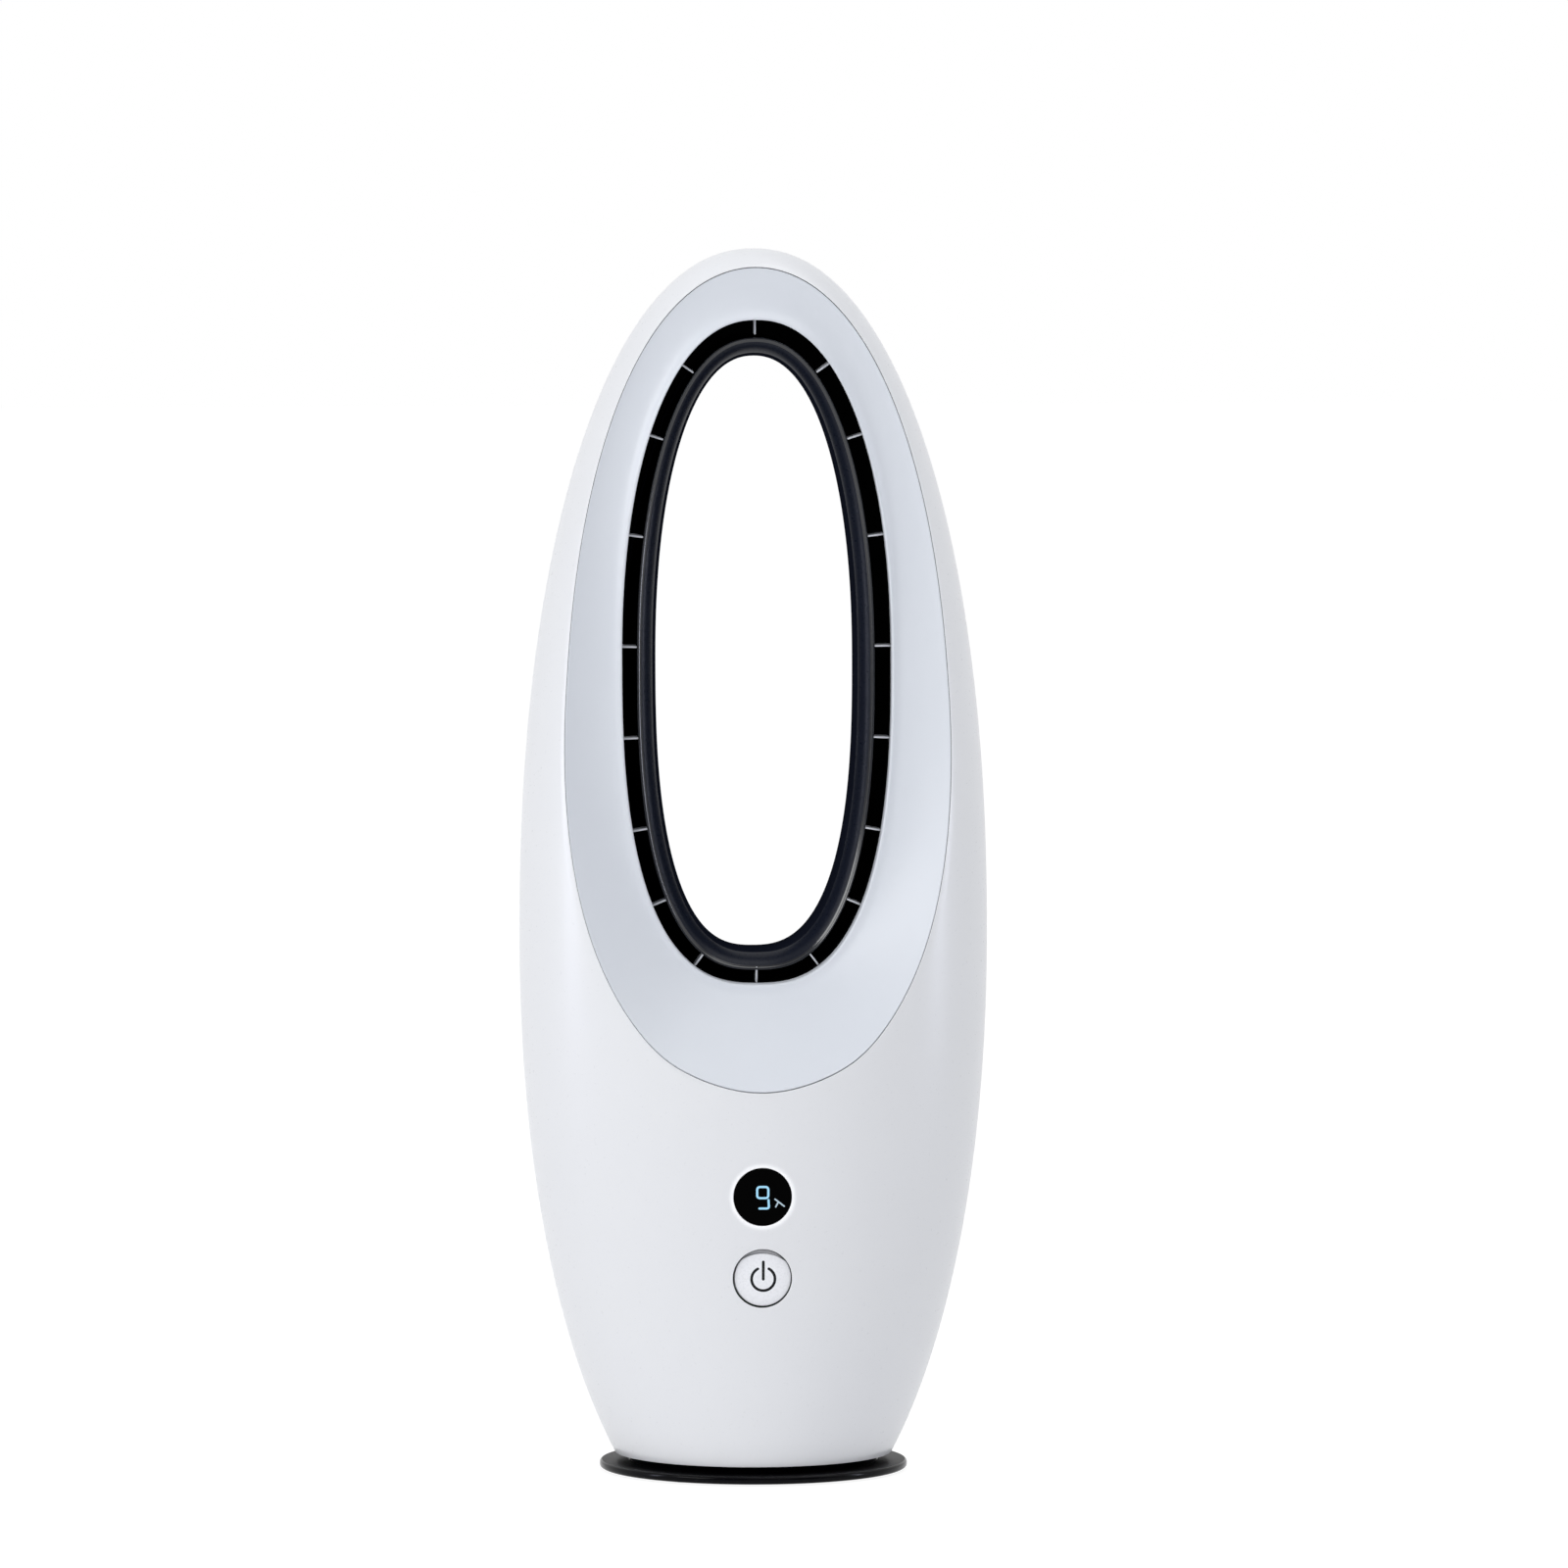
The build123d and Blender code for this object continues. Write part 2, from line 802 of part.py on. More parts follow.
def retaining_washer():
    return tube(washer_radius, post_neck + running_gap, shoulder_height, gear_low())


def gear_low():
    return shoulder_height + washer_thick


def toothed(teeth, first_turn):
    pitch_radius = gear_module * teeth / 2
    root = pitch_radius - tooth_below * gear_module
    tip = pitch_radius + tooth_above * gear_module
    wheel = Circle(root + root_lap)
    for step in range(teeth):
        turn = first_turn + 360 * step / teeth
        corners = [(root - tooth_sink, -tooth_root_half), (tip, -tooth_tip_half)]
        corners += [(tip, tooth_tip_half), (root - tooth_sink, tooth_root_half)]
        wheel = wheel + Rot(0, 0, turn) * make_face(Polyline(*corners, close=True))
    return wheel


def drive_gear():
    wheel = Pos(0, 0, gear_low()) * toothed(gear_teeth, 180 / gear_teeth)
    return extrude(wheel, amount=gear_thick) - cylinder(post_neck, 0, post_top + past)


def post_nut():
    low = gear_low() + gear_thick
    nut = tube(post_neck + nut_wall, post_neck, low, post_top)
    for x, y in around(4, post_neck + nut_wall, 45):
        nut = nut - cylinder(nut_notch, low - past, post_top + past, x, y)
    return nut


def pinion_x():
    return gear_module * (gear_teeth + pinion_teeth) / 2


def motor_low():
    return gear_low() + gear_thick + bracket_lift + bracket_thick


def pinion():
    wheel = Pos(pinion_x(), 0, gear_low()) * toothed(pinion_teeth, 180)
    shaft = cylinder(pinion_shaft, gear_low(), motor_low() + pinion_reach, pinion_x(), 0)
    return extrude(wheel, amount=gear_thick) + shaft


# Chassis and swing drive


def chassis_plate():
    top = chassis_bottom + chassis_thick
    plate = slab(wall + fit_gap, chassis_bottom, top)
    plate = plate + cylinder(chassis_hub, chassis_bottom, shoulder_height - fit_gap)
    plate = plate - cylinder(post_radius + running_gap, 0, shoulder_height + past)
    for x, y in around(4, foot_block_ring, 45):
        plate = plate - cylinder(screw_radius + seat_gap, 0, top + past, x, y)
        plate = plate - cylinder(screw_head + seat_gap, 0, chassis_bottom + screw_head_height, x, y)
    for x, y in power_posts():
        plate = plate + cylinder(power_post_radius, chassis_bottom, top + power_lift, x, y)
        plate = plate - cylinder(power_post_hole, top, top + power_lift + past, x, y)
    return plate


def chassis_screws():
    screws = []
    tip = chassis_bottom + chassis_screw_length
    for x, y in around(4, foot_block_ring, 45):
        head = cylinder(screw_head, chassis_bottom, chassis_bottom + screw_head_height, x, y)
        screws.append(head + cylinder(screw_radius - thread_gap, chassis_bottom, tip, x, y))
    return Compound(screws)


def oscillation_bracket():
    low, high = motor_low() - bracket_thick, motor_low()
    inner, outer = pinion_x() - bracket_inward, pinion_x() + bracket_outward
    plate = block(inner, outer, -bracket_half, bracket_half, low, high)
    plate = plate & slab(wall + bracket_margin, low - past, high + past)
    for x, y in bracket_leg_places:
        plate = plate + cylinder(bracket_leg, chassis_bottom + chassis_thick, low, pinion_x() + x, y)
    plate = plate - cylinder(pinion_shaft + pinion_clear, low - past, high + past, pinion_x(), 0)
    for y in (-ear_screw_y, ear_screw_y):
        plate = plate - cylinder(ear_hole, low - past, high + past, pinion_x(), y)
    return plate


def oscillation_motor():
    low = motor_low()
    motor = cylinder(motor_radius, low, low + motor_height, pinion_x(), 0)
    ear_left, ear_right = pinion_x() - ear_half, pinion_x() + ear_half
    motor = motor + block(ear_left, ear_right, -ear_end, ear_end, low, low + ear_thick)
    for y in (-ear_screw_y, ear_screw_y):
        motor = motor - cylinder(ear_hole, low - past, low + ear_thick + past, pinion_x(), y)
    bore_top = low + pinion_reach + 2 * past
    return motor - cylinder(pinion_shaft + running_gap, low - past, bore_top, pinion_x(), 0)


def motor_screws():
    screws = []
    head_low = motor_low() + ear_thick
    for y in (-ear_screw_y, ear_screw_y):
        head = cylinder(ear_head, head_low, head_low + small_head_height, pinion_x(), y)
        screws.append(head + cylinder(ear_screw, motor_low() - bracket_thick, head_low, pinion_x(), y))
    return Compound(screws)


# Fan housing, impeller and motor


def blade(inner, outer, low, high, turns, thick):
    sections = []
    for step, turn in enumerate(turns):
        z = low + (high - low) * step / (len(turns) - 1)
        plane = Plane(origin=(0, 0, z), x_dir=(cos(radians(turn)), sin(radians(turn)), 0), z_dir=(0, 0, 1))
        rectangle = plane * Pos((inner + outer) / 2, 0) * Rectangle(outer - inner, thick)
        sections.append(rectangle.wires()[0])
    return Solid.make_loft(sections, ruled=True)


def fan_housing():
    inner = housing_radius - housing_wall
    housing = tube(housing_radius, inner, housing_bottom, housing_top)
    housing = housing + Pos(0, 0, housing_bottom) * Torus(housing_radius, housing_wall)
    flange_top = baffle_bottom - seal_thick
    housing = housing + tube(housing_radius + seal_width, inner, flange_top - housing_flange, flange_top)
    housing = housing + motor_cup()
    leg_top = housing_bottom + housing_leg_lap
    for x, y in around(4, housing_radius - housing_leg_inset, 45):
        housing = housing + cylinder(housing_leg, chassis_bottom + chassis_thick, leg_top, x, y)
    return housing - cylinder(inner, 0, leg_top + past)


def motor_cup():
    low, high = cup_bottom + stator_low_gap, cup_top - stator_top_gap
    cup = cylinder(cup_radius, cup_bottom, cup_top)
    for step in range(stator_blades):
        reach = housing_radius - blade_lap
        vane = blade(cup_radius - blade_lap, reach, low, high, stator_turns, blade_thick)
        cup = cup + Rot(0, 0, 360 * step / stator_blades) * vane
    cup = cup - cylinder(cup_radius - cup_wall, cup_bottom + cup_floor, cup_top + past)
    cup = cup - cylinder(bearing_tube, cup_bottom - past, cup_bottom + cup_floor + past)
    seat_low = bracket_low() - bracket_seat
    return cup + tube(cup_radius - cup_wall / 2, cup_radius - 2 * cup_wall, seat_low, bracket_low())


def impeller():
    profile = [
        (shaft_radius, impeller_bottom),
        (impeller_root, impeller_bottom),
        (impeller_root + hub_step_out, impeller_bottom + hub_step_up),
        (cup_radius, impeller_top),
        (shaft_radius, impeller_top),
    ]
    wheel = revolved(profile)
    root = impeller_root - blade_sink
    tip = housing_radius - housing_wall - tip_gap
    for step in range(impeller_blades):
        vane = blade(root, tip, impeller_bottom + blade_lap, impeller_top, impeller_turns, blade_thick)
        wheel = wheel + Rot(0, 0, 360 * step / impeller_blades) * vane
    return wheel


def impeller_nut():
    low = impeller_bottom - impeller_nut_thick
    nut = extrude(Pos(0, 0, low) * RegularPolygon(impeller_nut_radius, 6), amount=impeller_nut_thick)
    return nut - cylinder(shaft_radius, low - past, impeller_bottom + past)


def motor_shaft():
    return cylinder(shaft_radius, impeller_bottom - shaft_tip, cup_top - shaft_top_gap)


def rotor_low():
    return cup_bottom + rotor_lift


def rotor_cup():
    low = rotor_low()
    cup = cylinder(magnet_outer + rotor_wall, low, low + rotor_height)
    cup = cup - cylinder(magnet_outer, low + rotor_floor, low + rotor_height + past)
    cup = cup + cylinder(rotor_hub, low, low + rotor_hub_height)
    return cup - cylinder(shaft_radius, low - past, low + rotor_hub_height + past)


def magnet_ring():
    low = rotor_low() + rotor_floor + magnet_ends
    return tube(magnet_outer, magnet_inner, low, rotor_low() + rotor_height - magnet_ends)


def bracket_low():
    return cup_top - bracket_drop


def bearing_low():
    return rotor_low() + rotor_hub_height + bearing_gap


def motor_bracket():
    plate = cylinder(cup_radius - cup_wall - lens_gap, bracket_low(), bracket_low() + bracket_plate)
    plate = plate + cylinder(bearing_tube, bearing_low(), bracket_low())
    return plate - cylinder(bearing_radius, 0, bracket_low() + bearing_gap)


def motor_bearings():
    bearings = []
    for low in (bearing_low(), bracket_low() - bearing_height - bearing_gap):
        bearings.append(tube(bearing_radius, shaft_radius + running_gap / 2, low, low + bearing_height))
    return Compound(bearings)


def motor_stator():
    low = bearing_low() + core_gap
    high = low + core_height
    inner = stator_radius - shoe_thick
    core = tube(bearing_tube + core_wall, bearing_tube, low, high)
    for step in range(motor_poles):
        tooth = block(bearing_tube + core_wall - past, inner, -tooth_half, tooth_half, low, high)
        shoe = tube(stator_radius, inner, low, high)
        shoe = shoe & block(0, stator_radius + past, -shoe_half, shoe_half, low, high)
        core = core + Rot(0, 0, 360 * step / motor_poles) * (tooth + shoe)
    return core


def motor_windings():
    core_low = bearing_low() + core_gap
    low, high = core_low - coil_end, core_low + core_height + coil_end
    inner_x = bearing_tube + core_wall + coil_gap
    outer_x = stator_radius - shoe_thick - coil_gap
    outside = tooth_half + coil_wall
    coils = []
    for step in range(motor_poles):
        coil = block(inner_x, outer_x, -outside, outside, low, high)
        eye_top = core_low + core_height
        eye = block(inner_x - past, outer_x + past, -tooth_half, tooth_half, core_low, eye_top)
        coils.append(Rot(0, 0, 360 * step / motor_poles) * (coil - eye))
    return Compound(coils)


def tail_cone():
    inner = cup_radius - cup_wall
    plate_top = bracket_low() + bracket_plate
    dome = Pos(0, 0, cup_top) * Sphere(cup_radius)
    dome = dome & cylinder(cup_radius + past, cup_top, cup_top + cup_radius + past)
    skirt = cylinder(inner - lens_gap, plate_top, cup_top + past)
    hollow = cylinder(inner - cup_wall, plate_top - past, cup_top + bracket_drop)
    return dome + skirt - hollow


def baffle_plate():
    top = baffle_bottom + baffle_thick
    plate = slab(wall + fit_gap, baffle_bottom, top)
    plate = plate - cylinder(housing_radius + fit_gap, 0, top + past)
    for x, y in baffle_places():
        plate = plate - cylinder(screw_radius + seat_gap, 0, top + past, x, y)
    return plate


def baffle_screws():
    screws = []
    top = baffle_bottom + baffle_thick
    for x, y in baffle_places():
        head = cylinder(screw_head, top, top + screw_head_height, x, y)
        shank = cylinder(screw_radius - thread_gap, baffle_bottom - baffle_screw_length, top, x, y)
        screws.append(head + shank)
    return Compound(screws)


def plenum_seal():
    inner = housing_radius + fit_gap
    return tube(housing_radius + seal_width, inner, baffle_bottom - seal_thick, baffle_bottom)


# Controls


def display_window():
    lens = rod(window_radius, -deep_half, 0, 0, window_height)
    return lens & (case_solid(0) - case_solid(window_thick))


def display_module():
    low, high = window_height - module_half_height, window_height + module_half_height
    return block(-module_half, module_half, board_front() - module_depth, board_front(), low, high)


def infrared_receiver():
    low = window_height - receiver_drop - receiver_half
    high = low + 2 * receiver_half
    return block(-receiver_half, receiver_half, board_front() - receiver_depth, board_front(), low, high)


def control_board():
    front, rear = board_front(), board_front() + board_thick
    board = block(-board_half, board_half, front, rear, board_bottom, board_top)
    for x, z in board_posts():
        board = board - rod(board_hole, front - past, rear + past, x, z)
    return board


def board_screws():
    screws = []
    rear = board_front() + board_thick
    for x, z in board_posts():
        shank = rod(board_screw, board_front() - board_screw_length, rear, x, z)
        screws.append(shank + rod(board_screw_head, rear, rear + small_head_height, x, z))
    return Compound(screws)


def tact_switch():
    low, high = button_height - switch_half, button_height + switch_half
    body = block(-switch_half, switch_half, board_front() - switch_half, board_front(), low, high)
    bore_front = board_front() - switch_half - past
    return body - rod(switch_bore, bore_front, board_front() - switch_floor, 0, button_height)


def switch_plunger():
    rear = board_front() - switch_floor - button_travel - plunger_spare
    return rod(plunger_radius, collar_rear() - plunger_lead, rear, 0, button_height)


def power_button():
    rear = collar_rear()
    front = rear - button_overlap
    flange_radius = button_radius + button_flange
    cap = rod(button_radius, -deep_half, 0, 0, button_height)
    cap = cap & (case_solid(button_recess) - case_solid(button_recess + button_thick))
    skirt = rod(button_radius, front, rear + seat_gap, 0, button_height)
    skirt = skirt + rod(flange_radius, rear + seat_gap, rear + button_flange_rear, 0, button_height)
    hollow = rod(button_radius - button_skirt, -deep_half, board_front(), 0, button_height)
    skirt = (skirt - hollow) & case_solid(button_recess)
    stem = rod(button_stem, front, rear - plunger_lead, 0, button_height)
    return cap + skirt + stem


# Supply


def power_posts():
    for x in (power_post_side - power_half, power_half - power_post_side):
        for y in (power_front + power_post_front, power_rear - power_post_rear):
            yield x, y


def power_board():
    low = chassis_bottom + chassis_thick + power_lift
    high = low + board_thick
    board = block(-power_half, power_half, power_front, power_rear, low, high)
    for x, y in power_posts():
        board = board - cylinder(power_hole, low - past, high + past, x, y)
    return board


def power_screws():
    screws = []
    top = chassis_bottom + chassis_thick + power_lift + board_thick
    for x, y in power_posts():
        head = cylinder(power_screw_head, top, top + small_head_height, x, y)
        screws.append(head + cylinder(power_screw, top - power_screw_length, top, x, y))
    return Compound(screws)


def power_components():
    low = chassis_bottom + chassis_thick + power_lift + board_thick
    front, rear = power_front + power_post_front, power_rear - power_post_side
    transformer = block(-transformer_left, transformer_right, front, rear, low, low + transformer_height)
    radius, height, x = tall_can
    tall = cylinder(radius, low, low + height, x, (power_front + power_rear) / 2)
    radius, height, x = short_can
    short = cylinder(radius, low, low + height, x, power_rear - short_can_back)
    return Compound([transformer, tall, short])


shell = case_shell()
nodes = {
    "front_shell": front_shell(shell),
    "rear_shell": rear_shell(shell),
    "face_panel": face_panel(),
    "inner_duct": inner_duct(),
    "outlet_vanes": outlet_vanes(),
    "intake_grille": intake_grille(),
    "cord_gland": cord_gland(),
    "case_screws": case_screws(),
    "base_plate": base_plate(),
    "ballast_plate": ballast_plate(),
    "base_cover": base_cover(),
    "rubber_feet": rubber_feet(),
    "base_screws": base_screws(),
    "pivot_post": pivot_post(),
    "post_screws": post_screws(),
    "swivel_ring": swivel_ring(),
    "retaining_washer": retaining_washer(),
    "drive_gear": drive_gear(),
    "post_nut": post_nut(),
    "pinion": pinion(),
    "chassis_plate": chassis_plate(),
    "chassis_screws": chassis_screws(),
    "oscillation_bracket": oscillation_bracket(),
    "oscillation_motor": oscillation_motor(),
    "motor_screws": motor_screws(),
    "fan_housing": fan_housing(),
    "impeller": impeller(),
    "impeller_nut": impeller_nut(),
    "motor_shaft": motor_shaft(),
    "rotor_cup": rotor_cup(),
    "magnet_ring": magnet_ring(),
    "motor_bracket": motor_bracket(),
    "motor_bearings": motor_bearings(),
    "motor_stator": motor_stator(),
    "motor_windings": motor_windings(),
    "tail_cone": tail_cone(),
    "baffle_plate": baffle_plate(),
    "baffle_screws": baffle_screws(),
    "plenum_seal": plenum_seal(),
    "display_window": display_window(),
    "display_module": display_module(),
    "infrared_receiver": infrared_receiver(),
    "control_board": control_board(),
    "board_screws": board_screws(),
    "tact_switch": tact_switch(),
    "switch_plunger": switch_plunger(),
    "power_button": power_button(),
    "power_board": power_board(),
    "power_screws": power_screws(),
    "power_components": power_components(),
}
for name, shape in nodes.items():
    export_step(shape, f"parts/{name}.step")
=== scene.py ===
import json
from math import cos, pi, radians, sin

import bpy
import numpy as np
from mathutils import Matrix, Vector


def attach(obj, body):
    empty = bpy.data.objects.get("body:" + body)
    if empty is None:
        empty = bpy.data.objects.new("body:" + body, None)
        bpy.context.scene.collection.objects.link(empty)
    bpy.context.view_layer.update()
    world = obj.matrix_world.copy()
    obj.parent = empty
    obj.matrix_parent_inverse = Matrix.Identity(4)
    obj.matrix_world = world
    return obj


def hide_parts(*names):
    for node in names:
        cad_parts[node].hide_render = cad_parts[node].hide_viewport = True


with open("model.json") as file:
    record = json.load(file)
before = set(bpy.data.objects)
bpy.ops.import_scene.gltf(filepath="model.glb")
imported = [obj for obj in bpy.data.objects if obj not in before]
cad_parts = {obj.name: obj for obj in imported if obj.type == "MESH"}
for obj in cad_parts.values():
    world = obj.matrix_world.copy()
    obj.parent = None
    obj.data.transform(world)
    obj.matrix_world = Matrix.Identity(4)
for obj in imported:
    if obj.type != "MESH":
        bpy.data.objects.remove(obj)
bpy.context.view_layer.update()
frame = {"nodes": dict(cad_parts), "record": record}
nodes = frame["nodes"]
mm = 0.001  # every size below is in millimetres, and is turned to metres where points are placed
print("frame loaded:", len(nodes), "pieces from the workshop model")


cameraSettings = {
    "azimuth": -3.4,
    "elevation": 5.23,
    "distance": 10.0,
    "frameWidth": 0.7533,  # metres of the fan's plane across the picture
    "aimHeight": 0.33097,
    "aimRight": 0.01477,  # the fan stands left of the picture's middle
    "sensor": 36.0,
}


def makeCamera(s):
    turn, rise = radians(s["azimuth"]), radians(s["elevation"])
    back = Vector((sin(turn) * cos(rise), -cos(turn) * cos(rise), sin(rise)))
    aim = Vector((s["aimRight"] * cos(turn), s["aimRight"] * sin(turn), s["aimHeight"]))
    data = bpy.data.cameras.new("studioCamera")
    data.sensor_width = s["sensor"]
    data.lens = s["sensor"] * s["distance"] / s["frameWidth"]
    data.clip_end = 100
    camera = bpy.data.objects.new("studioCamera", data)
    bpy.context.scene.collection.objects.link(camera)
    camera.location = aim + back * s["distance"]
    camera.rotation_euler = (-back).to_track_quat("-Z", "Y").to_euler()
    bpy.context.scene.camera = camera


makeCamera(cameraSettings)
print("camera set")


def linear(code):
    parts = [int(code[i : i + 2], 16) / 255 for i in (1, 3, 5)]
    return tuple(c / 12.92 if c <= 0.04045 else ((c + 0.055) / 1.055) ** 2.4 for c in parts) + (1.0,)


def addNode(tree, kind, settings=(), links=()):
    node = tree.nodes.new("ShaderNode" + kind)
    for key, value in dict(settings).items():
        if isinstance(key, str) and key[0].islower():
            setattr(node, key, value)
        else:
            node.inputs[key].default_value = value
    for key, socket in dict(links).items():
        tree.links.new(socket, node.inputs[key])
    return node


def newMaterial(name):
    material = bpy.data.materials.new(name)
    material.use_nodes = True
    material.node_tree.nodes.clear()
    return material, material.node_tree


def surfaceOf(name, light, dark, rough, s):
    # one moulded, plated or cast surface: cloudy colour, uneven gloss and a fine texture
    material, tree = newMaterial(name)
    place = addNode(tree, "TexCoord").outputs["Object"]
    cloud = addNode(tree, "TexNoise", {"Scale": 1 / (s["cloud"] * mm), "Detail": 2.0}, {"Vector": place})
    shades = {"data_type": "RGBA", 6: linear(light), 7: linear(dark)}
    tone = addNode(tree, "Mix", shades, {0: cloud.outputs[0]})
    texture = {"Scale": 1 / (s["grain"] * mm), "Detail": 3.0, "Roughness": 0.6}
    grain = addNode(tree, "TexNoise", texture, {"Vector": place}).outputs[0]
    ends = {"From Min": 0.3, "From Max": 0.7, "To Min": rough - s["uneven"], "To Max": rough + s["uneven"]}
    gloss = addNode(tree, "MapRange", ends, {"Value": grain})
    relief = {"Strength": s["relief"], "Distance": s["depth"] * mm}
    bump = addNode(tree, "Bump", relief, {"Height": grain})
    shader = addNode(
        tree,
        "BsdfPrincipled",
        {
            "Metallic": s.get("metal", 0.0),
            "IOR": s.get("ior", 1.5),
            "Specular IOR Level": s.get("spec", 0.5),
            "Coat Weight": s.get("coat", 0.0),
            "Coat Roughness": s.get("coatRough", 0.1),
        },
        {"Base Color": tone.outputs[2], "Roughness": gloss.outputs[0], "Normal": bump.outputs[0]},
    )
    if "halo" in s:
        # painted glow: white emission round a round window, fading outwards from its edge, which no lamp
        # gives
        h = s["halo"]
        flat = addNode(tree, "VectorMath", {"operation": "MULTIPLY", 1: (1, 0, 1)}, {0: place})
        middle = {"operation": "DISTANCE", 1: (0, 0, h["height"] * mm)}
        away = addNode(tree, "VectorMath", middle, {0: flat.outputs[0]})
        fade = {"From Min": h["end"] * mm, "From Max": h["start"] * mm, "To Max": h["glow"]}
        fade["interpolation_type"] = "SMOOTHSTEP"
        glow = addNode(tree, "MapRange", fade, {"Value": away.outputs["Value"]})
        shader.inputs["Emission Color"].default_value = (1, 1, 1, 1)
        tree.links.new(glow.outputs[0], shader.inputs["Emission Strength"])
    addNode(tree, "OutputMaterial", {}, {"Surface": shader.outputs[0]})
    return material


def glossAbs(name, light, dark, rough, spec=0.5, **more):
    # injection-moulded ABS from a polished tool: even colour, a soft gloss and a faint orange peel
    peel = {"cloud": 60, "grain": 1.4, "uneven": 0.03, "relief": 0.25, "depth": 0.02, "ior": 1.54}
    return surfaceOf(name, light, dark, rough, {**peel, "spec": spec, **more})


def satinAbs(name, light, dark, rough):
    # ABS from a spark-eroded tool: a dry satin face with a grain too fine to show, so drawn at 0.6 mm
    spark = {"cloud": 45, "grain": 0.6, "uneven": 0.04, "relief": 0.35, "depth": 0.02, "ior": 1.54}
    return surfaceOf(name, light, dark, rough, spark)


def platedSteel(name):
    # zinc-plated mild steel: bright grey with a slight mottle
    zinc = {"cloud": 6, "grain": 0.5, "uneven": 0.06, "relief": 0.2, "depth": 0.02, "metal": 1.0}
    return surfaceOf(name, "#C9CCD0", "#A9ADB3", 0.32, zinc)


def litDigit(name, colour, strength):
    # blue light from a diode behind smoked polycarbonate: it glows evenly and lights nothing near it
    material, tree = newMaterial(name)
    place = addNode(tree, "TexCoord").outputs["Object"]
    spots = addNode(tree, "TexNoise", {"Scale": 1 / (1.2 * mm), "Detail": 1.0}, {"Vector": place})
    pale = tuple(min(1.0, c * 1.25) for c in linear(colour)[:3]) + (1.0,)
    glow = addNode(tree, "Mix", {"data_type": "RGBA", 6: linear(colour), 7: pale}, {0: spots.outputs[0]})
    shader = addNode(
        tree,
        "BsdfPrincipled",
        {"Base Color": linear("#05070A"), "Roughness": 0.4, "Emission Strength": strength},
        {"Emission Color": glow.outputs[2]},
    )
    addNode(tree, "OutputMaterial", {}, {"Surface": shader.outputs[0]})
    return material


def dull(name, light, dark, rough, **more):
    # an everyday surface, changed by whatever is named
    plain = {"cloud": 25, "grain": 0.8, "uneven": 0.05, "relief": 0.3, "depth": 0.03}
    return surfaceOf(name, light, dark, rough, {**plain, **more})


polished = {"cloud": 30, "grain": 2.0, "uneven": 0.01, "relief": 0.05, "depth": 0.01, "spec": 0.015}
finishes = {
    "shell_white": glossAbs("glossAbsWhite", "#EEEFF1", "#ECEDF0", 0.3),
    "panel_grey": satinAbs("satinAbsPaleGrey", "#DFE3E9", "#DCE0E7", 0.4),
    "duct_black": glossAbs(
        "glossAbsBlueBlack", "#161A26", "#131722", 0.28, uneven=0.01, relief=0.06, ior=1.25
    ),
    "vane_grey": satinAbs("satinAbsRibGrey", "#D4D6DB", "#CDD0D6", 0.45),
    "base_black": glossAbs("glossAbsBlack", "#07070A", "#050508", 0.16, 0.07),
    # smoked polycarbonate, polished: black, with one clean reflection
    "lens_black": surfaceOf("smokedPolycarbonate", "#010101", "#020202", 0.09, polished),
    # painted light: the button's white is set lighter than the case's, to lift it out of the shade of its
    # recess
    "button_white": glossAbs("glossAbsButtonWhite", "#F8F9FC", "#F6F7FB", 0.28),
    "grille_white": satinAbs("satinAbsWhite", "#E6E8EB", "#E2E4E8", 0.42),
    # moulded nylon: dull, slightly waxy grey
    "gland_grey": dull("mouldedNylonGrey", "#4A4C50", "#434549", 0.5),
    # moulded rubber: flat black with a chalky bloom
    "foot_rubber": dull("mouldedRubber", "#1E1E1F", "#2A2A2B", 0.8, grain=0.5, relief=0.5),
    "steel": platedSteel("zincPlatedSteel"),
    # natural acetal: cream white and slippery
    "gear_nylon": dull("naturalAcetal", "#E5E1D2", "#DDD8C8", 0.4),
    # polypropylene: dull dark grey
    "inner_plastic": dull("mouldedPolypropylene", "#2A2C30", "#24262A", 0.5),
    # glass-filled nylon: grey with a fibrous bloom
    "impeller_grey": dull("glassFilledNylon", "#6B7078", "#5F646C", 0.55, grain=0.4, relief=0.5),
    # bonded ferrite: dark, granular, hardly shiny
    "magnet_ferrite": dull("bondedFerrite", "#2B2B2C", "#222223", 0.65, grain=0.3, relief=0.6),
    # enamelled copper wire: warm metal under varnish
    "winding_copper": dull("enamelledCopper", "#B5622B", "#A45422", 0.3, metal=1.0, coat=0.6, grain=0.5),
    # glass-epoxy laminate under green solder mask
    "board_green": dull("glassEpoxyGreen", "#1C5A34", "#174D2C", 0.35, coat=0.4, grain=0.7),
    # closed-cell foam: soft black with open pores
    "seal_foam": dull("closedCellFoam", "#252526", "#1B1B1C", 0.95, grain=0.6, relief=0.9),
}
# painted shade: near-black on the outlet's sleeve and on the duct's walls facing the slot, standing for the
# dark inside it
paintedShadeVentBlack = dull("paintedShadeVent", "#010101", "#020202", 0.8, spec=0.05)
# painted shade: flat black on the inside of the case, standing for the dark there
paintedShadeBlack = dull("paintedShadeInsideBlack", "#0B0B0C", "#101011", 0.85, spec=0.1)
# painted shade: dark grey on the walls of joints and holes in the case, standing for the shadow in the gaps
paintedShadeGrey = dull("paintedShadeJointGrey", "#2C2D30", "#26272A", 0.6, spec=0.2)
# the front shell: the case's white, with a painted glow round the display
paintedDisplayGlow = {"height": 140.0, "start": 14.0, "end": 16.9, "glow": 0.26}
frontWhitePaintedGlow = glossAbs("glossAbsWhiteFront", "#EEEFF1", "#ECEDF0", 0.3, halo=paintedDisplayGlow)
